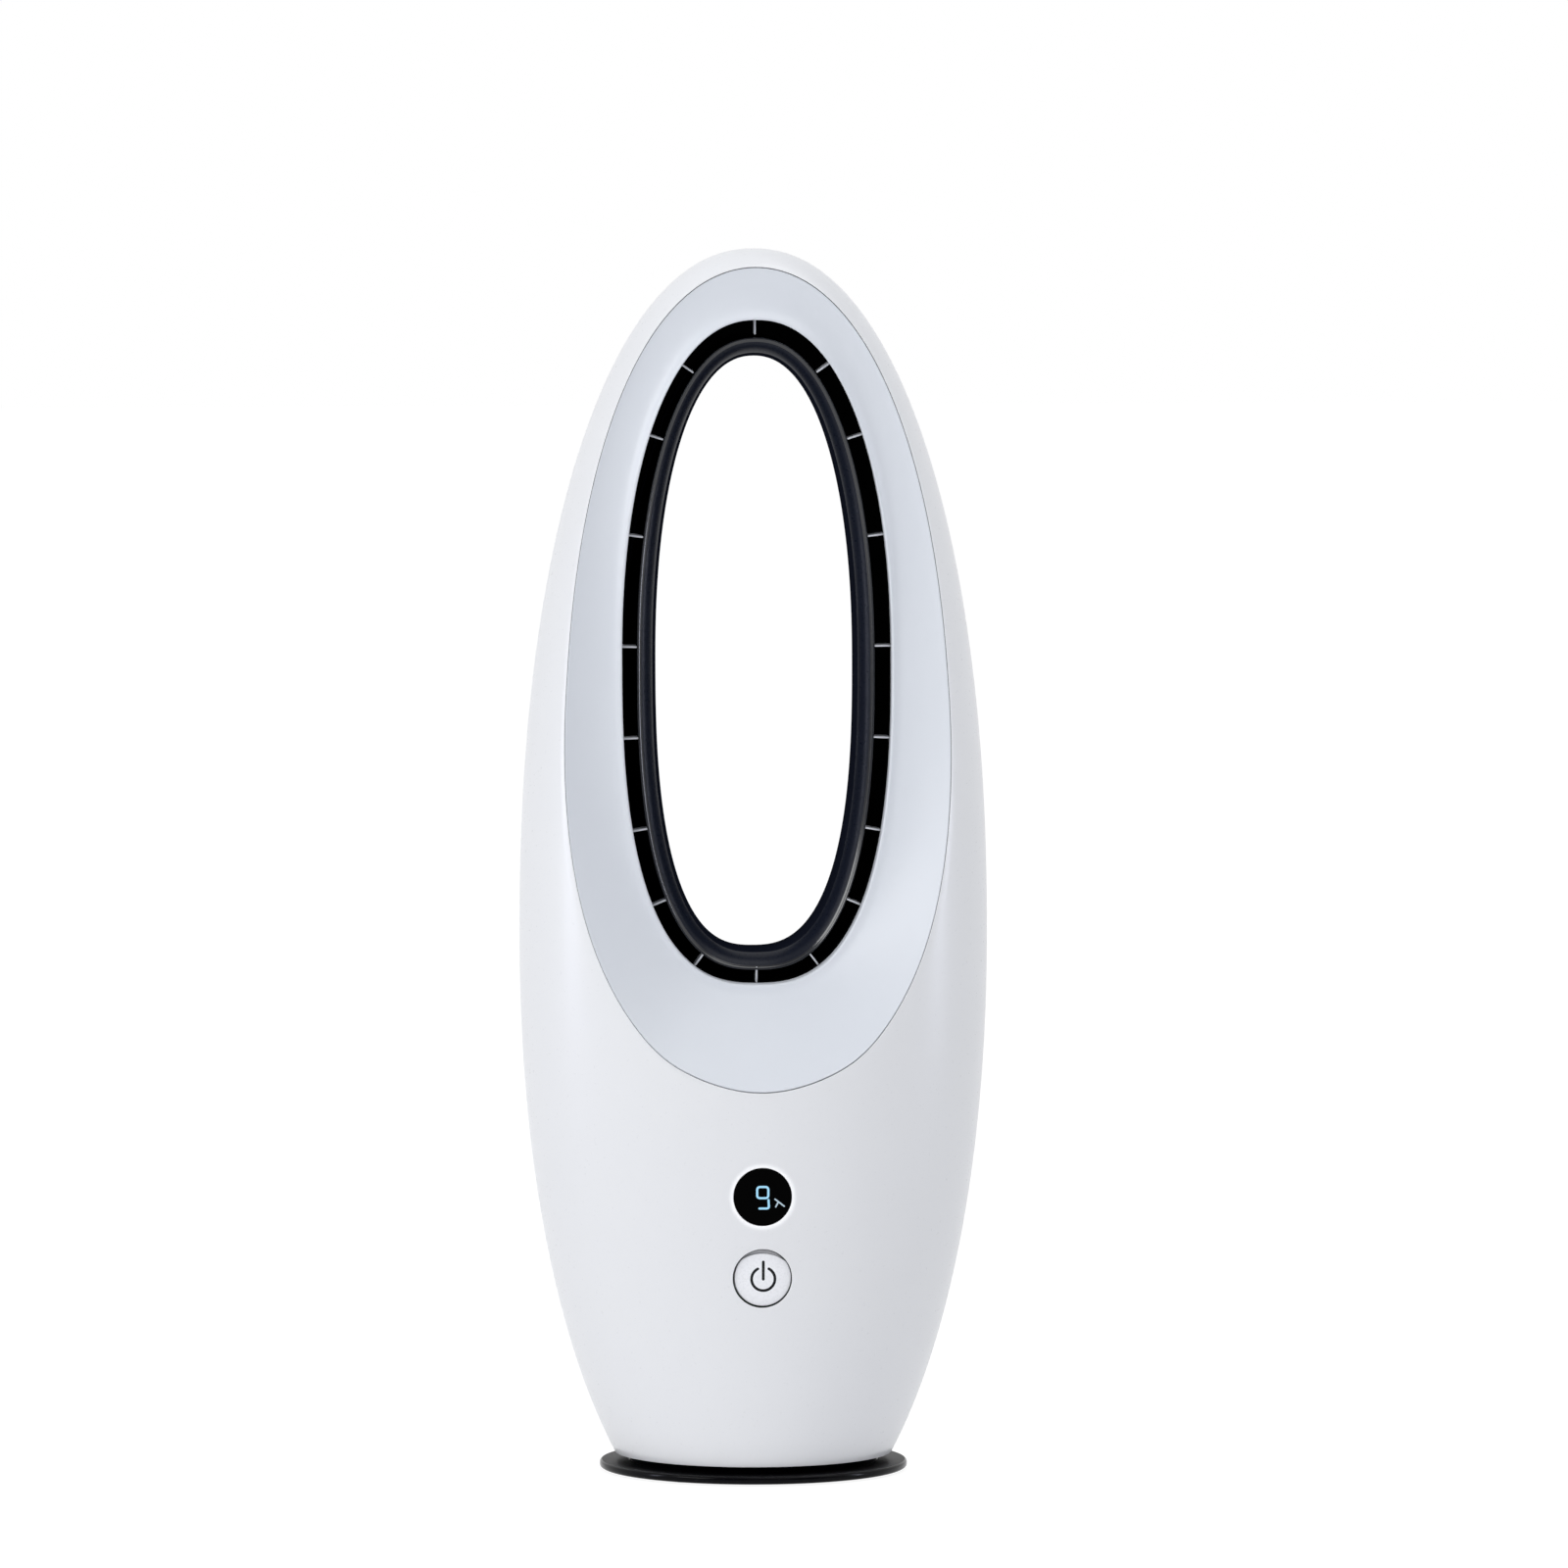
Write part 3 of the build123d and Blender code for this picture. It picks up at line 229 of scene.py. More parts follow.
# the base's top face: the same ABS with a spark-eroded grain
baseSatin = dull("satinAbsBlack", "#060608", "#08080B", 0.45, grain=0.6, spec=0.12)
# the nose of the duct's lip, where the tool is polished bright
ductNose = glossAbs("polishedAbsBlueBlack", "#14171E", "#11141B", 0.14, 0.6)
# the duct's throat and tunnel, behind its lip: dull blue-black
ductTunnel = dull("dullAbsBlueBlack", "#151823", "#12151E", 0.6, spec=0.0)
# screen-printed ink: flat black with a slight tooth
printedInk = dull("screenPrintedInk", "#0C0D10", "#121317", 0.5, grain=0.4, spec=0.2)
digitBlue = litDigit("litDigitBlue", "#98CFF2", 1.0)
glyphPale = litDigit("litGlyphPale", "#B4CAD8", 0.85)

slotOf = {row["node"]: row["material_slot"] for row in frame["record"]["subparts"]}
for nodeName, node in nodes.items():
    node.data.materials.clear()
    node.data.materials.append(finishes[slotOf[nodeName]])
print("materials made:", len(bpy.data.materials))


case = {
    "top": 588.75,
    "foot": 8.5,
    "wideHalf": 112.48,
    "wideAt": 260.0,
    "deepHalf": 79.97,
    "deepAt": 220.0,
    "footHalf": 66.5,
    "crownPower": 2.15,
    "waistPower": 2.1,
    "depthPower": 2.2,
    "roundPower": 2.0,
    "wall": 2.5,
    "seam": 4.0,
    "coreHeight": 400.0,  # up to here points are pushed out from the axis, above it from this point
}


def halfAt(z, half, widest, upPower, downPower, inset):
    z = np.asarray(z, float)
    up = np.clip((z - widest) / (case["top"] - inset - widest), 0, 1)
    reach = (widest - case["foot"]) / (1 - (case["footHalf"] / half) ** downPower) ** (1 / downPower)
    down = np.clip((widest - z) / reach, 0, 1)
    above = (half - inset) * (1 - up**upPower) ** (1 / upPower)
    below = half * (1 - down**downPower) ** (1 / downPower) - inset
    return np.maximum(np.where(z >= widest, above, below), 1e-6)


def halfWidth(z, inset=0.0):
    return halfAt(z, case["wideHalf"], case["wideAt"], case["crownPower"], case["waistPower"], inset)


def halfDepth(z, inset=0.0):
    return halfAt(z, case["deepHalf"], case["deepAt"], case["depthPower"], case["roundPower"], inset)


def fill(p, inset=0.0):
    z = p[..., 2]
    return (p[..., 0] / halfWidth(z, inset)) ** 2 + (p[..., 1] / halfDepth(z, inset)) ** 2


def search(outside, low, high):
    low, high = np.array(low, float), np.array(high, float)
    for _ in range(42):
        middle = (low + high) / 2
        out = outside(middle)
        high = np.where(out, middle, high)
        low = np.where(out, low, middle)
    return (low + high) / 2


def pushOut(p, inset=0.0):
    core = np.zeros_like(p)
    core[..., 2] = np.minimum(p[..., 2], case["coreHeight"])
    arm = p - core
    ones = np.ones(p.shape[:-1])
    far = search(lambda s: fill(core + arm * s[..., None], inset) > 1, ones * 0.5, ones * 4.0)
    return core + arm * far[..., None]


def faceAt(x, z, side):
    # y of the case's skin at a place seen from the front (side -1) or the rear (side 1)
    return side * halfDepth(z) * np.sqrt(np.clip(1 - (x / halfWidth(z)) ** 2, 0, 1))


ring = {
    "centre": 393.0,
    "up": 163.0,
    "down": 155.0,
    "half": 64.6,
    "width": 7.4,
    "y": -31.0,
    "lean": 0.042,
    "upPower": 2.2,
    "downPower": 2.6,
    "points": 320,
}
dish = {
    "half": 132.5,
    "centre": 367.0,
    "up": 320.0,
    "down": 177.0,
    "upPower": 1.81,
    "downPower": 1.81,
    "y": -48.0,
    "lean": 0.153125,
    "smoothing": 8.0,  # how far the corners of the panel's edge are smoothed away
}
duct = {
    "lipBack": 9.0,  # how far the lip and the throat lie behind the slot
    "throatBack": 24.0,
    "inset": 9.8,
    "flare": 0.0025,
    "drop": 1.5,
    "wall": 2.4,
    "lip": 0.8,
    "power": 1.6,
}


def pointsOf(x, y, z):
    # points from three coordinates, any of which may be one number
    return np.stack(np.broadcast_arrays(x, y, z), -1)


def oval(s, turn, grow, y, drop=0.0):
    # the slot's or the dish's oval, grown by so much and leaning back from a place in depth
    across, rise = np.cos(turn), np.sin(turn)
    power = np.where(rise > 0, s["upPower"], s["downPower"])
    x = np.copysign(np.abs(across) ** (2 / power), across) * (s["half"] + grow)
    tall = np.where(rise > 0, s["up"] + grow, s["down"] + grow)
    centre = s["centre"] - drop
    z = centre + np.copysign(np.abs(rise) ** (2 / power), rise) * tall
    return pointsOf(x, y + (z - centre) * s["lean"], z)


def slotOval(turn, grow, back):
    return oval(ring, turn, grow, ring["y"] + back)


def wideOval(turn, grow, back):
    return oval(dish, turn, grow, dish["y"] + back)


def ductOval(turn, inset, y):
    return oval(ring, turn, -ring["width"] - inset, y, duct["drop"])


def wholeTurn(count):
    return np.linspace(0, 2 * pi, count, endpoint=False)


def sharesOf(count):
    # even shares of a way, without its start
    return np.linspace(0, 1, count + 1)[1:]


def evenTurns(curve, count):
    # turns that space a closed curve's points evenly
    turns = np.linspace(0, 2 * pi, 6001)
    points = curve(turns)
    run = runOf(points)
    return np.interp(np.linspace(0, run[-1], count, endpoint=False), run, turns)


def dishPoint(turn, length, grow):
    # a point on the dish, by its distance from the slot: out to the wide oval, then straight forwards
    a, b = slotOval(turn, grow, grow), wideOval(turn, grow, grow)
    span = np.linalg.norm(b - a, axis=-1)
    out = a + (b - a) * np.minimum(length / span, 1)[..., None]
    out[..., 1] -= np.maximum(length - span, 0)
    return out


def dishReach(turn, grow, inset):
    ones = np.ones_like(turn)
    return search(lambda s: fill(dishPoint(turn, s, grow), inset) > 1, ones * 0.0, ones * 220.0)


def onSkin(flat, side, depth=0.0):
    # places seen from the front or the rear, laid on the case's skin or a depth behind it
    x, z = flat.T
    return pointsOf(x, faceAt(x, z, side) - side * depth, z)


def panelEdge():
    # the curve where the dish meets the case's skin, evenly spaced and with its two corners smoothed away
    turns = wholeTurn(4000)
    curve = closeUp(dishPoint(turns, dishReach(turns, 0.0, 0.0), 0.0)[:, (0, 2)])
    run = runOf(curve)
    stops = np.linspace(0, run[-1], 1440, endpoint=False)
    flat = placesAt(stops, run, curve)
    waves = np.fft.fftfreq(len(flat), run[-1] / len(flat)) * 2 * pi
    keep = np.exp(-((waves * dish["smoothing"]) ** 2) / 2)[:, None]
    return np.real(np.fft.ifft(np.fft.fft(flat, axis=0) * keep, axis=0))


def closeUp(points):
    return np.concatenate([points, points[:1]])


def placesAt(stops, run, points):
    # the points of a path at given lengths along it
    return np.stack([np.interp(stops, run, column) for column in points.T], -1)


def runOf(points):
    # the length of a path up to each of its points
    return np.concatenate([[0], np.cumsum(np.linalg.norm(np.diff(points, axis=0), axis=1))])


def objectMode():
    bpy.ops.object.mode_set(mode="OBJECT")


def selectOnly(*objects):
    if bpy.context.mode != "OBJECT":
        objectMode()
    bpy.ops.object.select_all(action="DESELECT")
    for o in objects:
        o.select_set(True)
    bpy.context.view_layer.objects.active = objects[0] if objects else None


def editAll(piece):
    selectOnly(piece)
    bpy.ops.object.mode_set(mode="EDIT")
    bpy.ops.mesh.select_all(action="SELECT")


def gridOf(name, points):
    # a grid primitive whose rows and columns are laid along formula points, with its seams and poles closed
    rows, columns = points.shape[:2]
    selectOnly()
    bpy.ops.mesh.primitive_grid_add(x_subdivisions=columns - 1, y_subdivisions=rows - 1)
    piece = bpy.context.object
    piece.name = piece.data.name = name
    piece.data.vertices.foreach_set("co", np.ascontiguousarray(points * mm, dtype=np.float32).ravel())
    piece.data.update()
    editAll(piece)
    bpy.ops.mesh.remove_doubles(threshold=0.004 * mm)
    bpy.ops.mesh.dissolve_degenerate(threshold=0.001 * mm)
    objectMode()
    return piece


def closedRings(rings):
    # repeats the first column at the end, so that each row closes on itself
    return np.concatenate([rings, rings[:, :1]], axis=1)


def closedForm(name, rows):
    # a closed solid through rings of points
    piece = gridOf(name, closedRings(np.array(rows)))
    turnOutwards(piece)
    return piece


def paint(piece, *materials):
    for material in materials:
        piece.data.materials.append(material)


def faceData(piece, key):
    # the centre or normal of each face
    data = np.zeros(len(piece.data.polygons) * 3)
    piece.data.polygons.foreach_get(key, data)
    return data.reshape(-1, 3)


def blockOf(place, size, turn=0.0):
    # a block round a place, turned about the front-to-back axis, in millimetres and degrees
    selectOnly()
    where = Vector(place) * mm
    bpy.ops.mesh.primitive_cube_add(size=1, location=where, rotation=(0, -radians(turn), 0))
    block = bpy.context.object
    block.scale = Vector(size) * mm
    bpy.ops.object.transform_apply()
    return block


def turnOutwards(piece):
    editAll(piece)
    bpy.ops.mesh.normals_make_consistent()
    objectMode()


def faceAway(piece, point, away=True):
    # an open sheet's faces are all turned away from a point, or towards it
    turnOutwards(piece)
    arms = faceData(piece, "center") - np.array(point) * mm
    if ((arms * faceData(piece, "normal")).sum() > 0) != away:
        editAll(piece)
        bpy.ops.mesh.flip_normals()
        objectMode()


def modify(piece, kind, **settings):
    selectOnly(piece)
    modifier = piece.modifiers.new(kind.lower(), kind)
    for key, value in settings.items():
        setattr(modifier, key, value)
    bpy.ops.object.modifier_apply(modifier=modifier.name)


def thicken(piece, wall):
    modify(piece, "SOLIDIFY", thickness=wall * mm, offset=-1.0, use_even_offset=True)


def roundEdges(piece, width, segments, angle):
    limit = {"limit_method": "ANGLE", "angle_limit": radians(angle)}
    modify(piece, "BEVEL", width=width * mm, segments=segments, **limit)


def cutWith(piece, *cutters):
    # the wall of each hole takes the piece's second material (on the shells the painted shade grey), and its
    # rounded mouth the first
    for cutter in cutters:
        paint(cutter, *piece.data.materials)
        for face in cutter.data.polygons:
            face.material_index = int(abs(face.normal.y) < 0.3 and len(piece.data.materials) > 1)
        modify(piece, "BOOLEAN", operation="DIFFERENCE", solver="EXACT", object=cutter)
        bpy.data.objects.remove(cutter, do_unlink=True)


def joinAll(name, pieces):
    selectOnly(*pieces)
    bpy.ops.object.join()
    piece = bpy.context.object
    piece.name = piece.data.name = name
    return piece


def fit(piece, angle, slotName, standsFor=(), material=None, body="fan_body"):
    # finishes a piece: edges sharper than the angle stay sharp, and it rides on its body
    selectOnly(piece)
    bpy.ops.object.shade_smooth_by_angle(angle=radians(angle))
    if not piece.data.materials:
        paint(piece, material or finishes[slotName])
    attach(piece, body)
    if standsFor:
        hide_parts(*standsFor)
    print("made", piece.name, len(piece.data.polygons), "faces")


def arcOf(radius, x, z, turns):
    return np.stack([x + radius * np.cos(turns), z + radius * np.sin(turns)], -1)


def circleOutline(radius, x, z, count=128):
    return arcOf(radius, x, z, wholeTurn(count))


def roundedOutline(halfX, halfZ, corner, x, z, perCorner=12, perSide=24):
    # a rounded rectangle, counted anticlockwise from its right side
    arcs = []
    for k, (sx, sz) in enumerate(((1, 1), (-1, 1), (-1, -1), (1, -1))):
        turns = np.radians(90 * k + np.linspace(0, 90, perCorner + 1))
        arcs.append(arcOf(corner, x + sx * (halfX - corner), z + sz * (halfZ - corner), turns))
    shares = sharesOf(perSide)[:-1, None]
    sides = [a[-1] + (b[0] - a[-1]) * shares for a, b in zip(arcs, arcs[1:] + arcs[:1])]
    return np.concatenate([part for pair in zip(arcs, sides) for part in pair])


def outlineNormals(outline):
    along = np.roll(outline, -1, axis=0) - np.roll(outline, 1, axis=0)
    along /= np.linalg.norm(along, axis=1)[:, None]
    return np.stack([along[:, 1], -along[:, 0]], -1)


def skinPlug(name, outline, side, edge, rear, faceSteps):
    # a plug whose face follows the case's skin. edge: (grow, depth) from the rear corner to the face's rim
    normals = outlineNormals(outline)
    middle = outline.mean(axis=0)
    first = outline + normals * edge[0][0]
    rows = [np.tile([middle[0], side * rear, middle[1]], (len(outline), 1))]
    rows.append(pointsOf(first[:, 0], side * rear, first[:, 1]))
    rows += [onSkin(outline + normals * grow, side, depth) for grow, depth in edge]
    grow, depth = edge[-1]
    rim = outline + normals * grow
    for step in range(1, faceSteps + 1):
        rows.append(onSkin(middle + (rim - middle) * (1 - step / faceSteps), side, depth))
    return closedForm(name, rows)


def rimSteps(radius, turns):
    # growth and depth round a quarter circle; a minus radius rounds inwards
    return [(radius * (1 - cos(t)), abs(radius) * (1 - sin(t))) for t in np.radians(turns)]


def plateRim(s):
    # growth and depth from a plate's back to the rim of its face
    return [(0.0, s["thick"]), (0.0, s["edge"]), (-0.12, 0.12), (-s["edge"], 0.0)]


def holeCutter(outline, side, flare, rear, lift=2.0):
    # cuts a hole with a rounded mouth, whose radius is the flare, through the case's skin
    rim = rimSteps(flare, (0, 22.5, 45, 67.5, 90))
    return skinPlug("cutter", outline, side, [(0.0, flare + 0.01), *rim, (flare * 1.001, -lift)], rear, 4)


shells = {
    "split": 165.0,  # below this height the shell is laid in level rows
    "rowGap": 3.2,
    "fan": 112,  # columns across the split line
    "hoop": 240,  # columns along the seam
    "rings": 16,
    "seamGap": 0.08,
    "lip": 0.3,
    "panelGap": 0.7,  # between the panel's edge and the opening's
    "depths": (0.45, 2.2),  # how deep the painted shade grey on the joint's wall and the painted black shade inside start
}


def levelRow(z, side):
    s = np.arcsin(seamAt(side) / halfDepth(z))
    turn = np.linspace(pi - s, (2 * pi + s) if side < 0 else s, shells["fan"] + 1)
    x, y = halfWidth(z) * np.cos(turn), halfDepth(z) * np.sin(turn)
    return pointsOf(x, y, z)


def seamAt(side):
    return case["seam"] + side * shells["seamGap"]


def seamArch(side):
    # from the right end of the split line, over the crown, to its left end
    y = seamAt(side)
    top = search(lambda z: halfDepth(z) < y, np.array([500.0]), np.array([case["top"]]))[0]
    rise = shells["split"] + (top - shells["split"]) * np.sin(np.linspace(0, pi / 2, 3000))
    x = halfWidth(rise) * np.sqrt(np.clip(1 - (y / halfDepth(rise)) ** 2, 0, 1))
    right = pointsOf(x, y, rise)
    left = right[::-1] * np.array([-1, 1, 1])
    arch = np.concatenate([right, left[1:]])
    run = runOf(arch)
    return placesAt(np.linspace(0, run[-1], shells["hoop"] + 1), run, arch)


def roundTurns(curve, centre):
    # a closed curve, put anticlockwise, with the direction of each point from the centre
    turns = np.unwrap(np.arctan2(curve[:, 2] - centre, curve[:, 0]))
    turns, curve = (turns, curve) if turns[-1] > turns[0] else (turns[::-1], curve[::-1])
    return np.append(turns, turns[0] + 2 * pi), closeUp(curve)


def matchByDirection(curve, centre, targets):
    # for each target, the point of a closed curve that lies in the same direction from the centre
    turns, curve = roundTurns(curve, centre)
    wanted = np.arctan2(targets[:, 2] - centre, targets[:, 0])
    return placesAt((wanted - turns[0]) % (2 * pi) + turns[0], turns, curve)


def matchByRun(curve, centre, outer, corner):
    # two points of a closed curve are matched by direction, the rest by their share of the way between
    turns, curve = roundTurns(curve, centre)
    run = runOf(curve)
    first, second = (np.arctan2(outer[k, 2] - centre, outer[k, 0]) for k in (0, corner))
    first, second = (np.interp((t - turns[0]) % (2 * pi) + turns[0], turns, run) for t in (first, second))
    second += run[-1] if second < first else 0
    shares = runOf(closeUp(outer))
    stops = np.interp(shares[:-1], (0, shares[corner], shares[-1]), (first, second, first + run[-1]))
    return placesAt(stops % run[-1], run, curve)


def shellSkin(name, opening, centre, side):
    lowest = levelRow(shells["split"], side)
    outer = np.concatenate([lowest[:-1], seamArch(side)[:-1]])
    inner = pushOut(matchByRun(opening, centre, outer, shells["fan"]))
    share = np.linspace(0, 1, shells["rings"] + 1)[:, None, None]
    upper = pushOut(inner[None] * (1 - share) + outer[None] * share)
    upper[-1] = outer
    rows = int((shells["split"] - case["foot"]) / shells["rowGap"])
    lower = np.array([levelRow(z, side) for z in np.linspace(shells["split"], case["foot"], rows + 1)])
    lower[0] = lowest
    skin = joinAll(name, [gridOf("upper", closedRings(upper)), gridOf("lower", lower)])
    editAll(skin)
    bpy.ops.mesh.remove_doubles(threshold=0.01 * mm)
    objectMode()
    faceAway(skin, (0, 0, 300))
    thicken(skin, case["wall"])
    roundEdges(skin, shells["lip"], 3, 50)
    paint(skin, frontWhitePaintedGlow if side < 0 else finishes["shell_white"], paintedShadeGrey, paintedShadeBlack)
    # painted shade: faces just inside the skin take the dark grey, deeper ones the black
    centres = faceData(skin, "center") / mm
    kinds = sum((fill(centres, depth) < 1).astype(np.int32) for depth in shells["depths"])
    skin.data.polygons.foreach_set("material_index", kinds)
    return skin


controls = {
    "windowRadius": 13.75,
    "windowHole": 13.95,
    "windowHeight": 140.0,
    "windowMouth": 0.6,
    "buttonHole": 14.15,
    "buttonHeight": 100.6,
    "buttonMouth": 0.35,
    "cutDepth": 60.0,
}


def makeFrontShell():
    edge = panelEdge()
    edge = edge + outlineNormals(edge) * shells["panelGap"]
    skin = shellSkin("frontShell", onSkin(edge, -1), dish["centre"], -1)
    c = controls
    window = circleOutline(c["windowHole"], 0, c["windowHeight"])
    button = circleOutline(c["buttonHole"], 0, c["buttonHeight"])
    cutWith(
        skin,
        holeCutter(window, -1, c["windowMouth"], c["cutDepth"]),
        holeCutter(button, -1, c["buttonMouth"], c["cutDepth"]),
    )
    fit(skin, 35, "shell_white", ["front_shell"])


rearHoles = {
    "gap": 0.3,  # round the grille and the gland
    "screwHole": 3.1,
    "screwPlaces": ((11.6, 330.0), (11.1, 130.0), (12.3, 45.0)),  # in from the case's side, and height
    "ductGap": 0.2,
    "mouth": 0.5,
    "cutDepth": 45.0,
    "screwDepth": 8.0,
}


def makeRearShell():
    h = rearHoles
    grow = duct["wall"] + h["ductGap"]
    turns = evenTurns(lambda t: ductOval(t, 0, 0), 1440)
    opening = ductAt(turns, ductEnd(turns, grow), grow)
    skin = shellSkin("rearShell", opening, ring["centre"] - duct["drop"], 1)
    cutters = [holeCutter(grilleOutline(h["gap"]), 1, h["mouth"], h["cutDepth"])]
    cutters.append(holeCutter(glandOutline(h["gap"]), 1, h["mouth"] / 2, h["cutDepth"]))
    for inset, z in h["screwPlaces"]:
        x = float(halfWidth(z)) - inset
        for hand in (1, -1):
            well = circleOutline(h["screwHole"], hand * x, z, 40)
            cutters.append(holeCutter(well, 1, h["mouth"] / 2, h["screwDepth"]))
    cutWith(skin, *cutters)
    fit(skin, 35, "shell_white", ["rear_shell"])


def ductInset(y):
    throat = ring["y"] + duct["throatBack"]
    run = duct["throatBack"] - duct["lipBack"]
    share = np.clip((throat - y) / run, 0, 1)
    front = duct["inset"] * (1 - share ** duct["power"]) ** (1 / duct["power"])
    return np.where(y < throat, front, duct["inset"] - duct["flare"] * (y - throat) ** 2)


def ductAt(turn, y, grow):
    return ductOval(turn, ductInset(y) - grow, y)


def ductEnd(turn, grow, inset=0.0):
    # how far back the duct runs before it meets the case's rear, or the skin that far inside it
    ones = np.ones_like(turn)
    return search(lambda y: fill(ductAt(turn, y, grow), inset) > 1, ones * 20.0, ones * 110.0)


ductSteps = {
    "lip": 16,
    "body": 26,
    "outside": 14,
    "throat": 6,
    "nose": 0.7,  # radius of the lip's front edge
    "rimSink": 0.15,
    "edge": 0.3,
    "polished": 0.9,  # how far behind the lip's front each finish runs
    "glossy": 8.0,
    "flange": 1.8,
    "flangeThick": 1.0,
    "flangeClear": 0.4,
}


def makeDuct():
    s = ductSteps
    turns = evenTurns(lambda t: ductOval(t, 5, 0), ring["points"])
    lipY, throatY = ring["y"] + duct["lipBack"], ring["y"] + duct["throatBack"]
    innerEnd, outerEnd = ductEnd(turns, 0.0), ductEnd(turns, duct["wall"])
    rows = [ductAt(turns, outerEnd - s["rimSink"], duct["wall"])]
    # a flange inside the rear shell, so that no light comes through the joint there
    thick, flange = s["flangeThick"], duct["wall"] + s["flange"]
    flangeEnd = ductEnd(turns, flange, case["wall"] + s["flangeClear"])
    for back, grow in ((0, duct["wall"]), (0, flange), (thick, flange), (thick, duct["wall"])):
        rows.append(ductAt(turns, flangeEnd - back, grow))
    for share in 1 - sharesOf(s["outside"]):
        rows.append(ductAt(turns, throatY + (flangeEnd - thick - throatY) * share, duct["wall"]))
    for share in sharesOf(s["throat"]):
        y = throatY + (lipY + s["nose"] - throatY) * share
        rows.append(ductOval(turns, max(float(ductInset(y)) - duct["wall"], 0.0), y))
    for turn in np.radians((45, 90, 135)):
        inset = s["nose"] * (1 - cos(turn))
        rows.append(ductOval(turns, inset, lipY + s["nose"] * (1 - sin(turn))))
    for turn in np.radians(np.linspace(4, 90, s["lip"])):
        y = throatY - (throatY - lipY - s["nose"] / 2) * cos(turn)
        rows.append(ductOval(turns, max(float(ductInset(y)), duct["lip"]), y))
    for share in sharesOf(s["body"]):
        rows.append(ductAt(turns, throatY + (innerEnd - s["rimSink"] - throatY) * share, 0.0))
    rows.append(rows[0])
    piece = closedForm("innerDuct", rows)
    roundEdges(piece, s["edge"], 3, 55)
    paint(piece, finishes["duct_black"], paintedShadeVentBlack, ductNose, ductTunnel)
    # painted shade: the duct's faces turned out towards the slot take the near-black
    for face in piece.data.polygons:
        arm = face.center / mm - Vector((0, 0, ring["centre"]))
        back = arm.y - ring["y"] - ring["lean"] * arm.z - duct["lipBack"]
        outward = arm.x * face.normal.x + arm.z * face.normal.z > 0
        inside = 3 if back > s["glossy"] else 0
        face.material_index = 2 if back < s["polished"] else 1 if outward else inside
    fit(piece, 40, "duct_black", ["inner_duct"])


panel = {
    "wall": 1.8,
    "sleeveWall": 1.3,
    "edgeWall": 1.0,  # the wall thins over the last few millimetres, so that it clears the shell
    "edgeRun": 9.0,
    "edgeSink": 0.3,
    "sleeveRows": (8.0, 6.0, 4.0, 2.4),  # how far behind the slot's edge the inner wall's rows lie
    "roll": 1.5,  # radius of the lip beside the slot
    "lipProud": 1.2,
    "lipSpread": 3.2,
    "valley": 0.6,
    "valleyAt": 10.0,
    "sag": 2.0,  # how far the dish is hollowed between the slot and its edge
    "rings": 34,
    "crowding": 1.2,  # draws the rows together towards the slot
    "thinFrom": 0.75,
    "edge": 0.35,
}


def panelRow(start, end, length):
    # a row of the dish, from the slot's edge out to its own edge
    reach = np.linalg.norm(end - start, axis=1)
    share = length / reach
    row = start + (end - start) * share[:, None]
    lift = panel["lipProud"] * np.exp(-((length / panel["lipSpread"]) ** 2))
    hollow = length / panel["valleyAt"]
    lift = lift - panel["valley"] * hollow * np.exp(1 - hollow) - panel["sag"] * 4 * share * (1 - share)
    near = np.clip(1 - (reach - length) / panel["edgeRun"], 0, 1)
    row[:, 1] += panel["edgeSink"] * near**2 * (3 - 2 * near) - lift
    return row


def backOf(rows, walls):
    # the rows of a closed band's hidden side, one wall behind its visible side
    along = np.gradient(rows, axis=0)
    around = np.roll(rows, -1, axis=1) - np.roll(rows, 1, axis=1)
    normals = np.cross(along, around)
    normals /= np.linalg.norm(normals, axis=2)[..., None]
    if normals[-10, :, 1].mean() < 0:
        normals = -normals
    return rows + normals * walls[:, None, None]


def makePanel():
    turns = evenTurns(lambda t: slotOval(t, 0, 0) * 0.5 + wideOval(t, 0, 0) * 0.5, ring["points"])
    start = slotOval(turns, 0.0, 0.0)
    rough = dishPoint(turns, dishReach(turns, 0.0, 0.0), 0.0)
    end = matchByDirection(onSkin(panelEdge(), -1), dish["centre"], rough)
    end = onSkin(end[:, (0, 2)], -1)
    reach = np.linalg.norm(end - start, axis=1)
    roll = panel["roll"]
    rows, walls = [], []
    for back in panel["sleeveRows"]:
        rows.append(slotOval(turns, 0.0, back))
        walls.append(panel["sleeveWall"])
    for turn in np.radians((0, 18, 36, 54, 72)):
        row = panelRow(start, end, roll * (1 - cos(turn)))
        row[..., 1] += roll * (1 - sin(turn))
        rows.append(row)
        walls.append(panel["sleeveWall"])
    for share in np.linspace(0, 1, panel["rings"] + 1):
        rows.append(panelRow(start, end, roll + (reach - roll) * share ** panel["crowding"]))
        thin = max(0.0, (share - panel["thinFrom"]) / (1 - panel["thinFrom"]))
        wall = panel["wall"] + (panel["edgeWall"] - panel["wall"]) * thin
        walls.append(wall if share > 0 else panel["sleeveWall"])
    front = np.array(rows)
    back = backOf(front, np.array(walls))
    piece = closedForm("facePanel", np.concatenate([front, back[::-1], front[:1]]))
    roundEdges(piece, panel["edge"], 3, 55)
    fit(piece, 40, "panel_grey", ["face_panel"])


vanes = {
    "thick": 0.85,
    "front": 9.5,
    "depth": 11.0,
    "sleeveWall": 1.6,
    "rises": (0.875, 0.668, 0.371, 0.038),
    "falls": (0.25, 0.54, 0.77, 0.95),
    "nose": 0.3,
    "reach": 3.85,
}


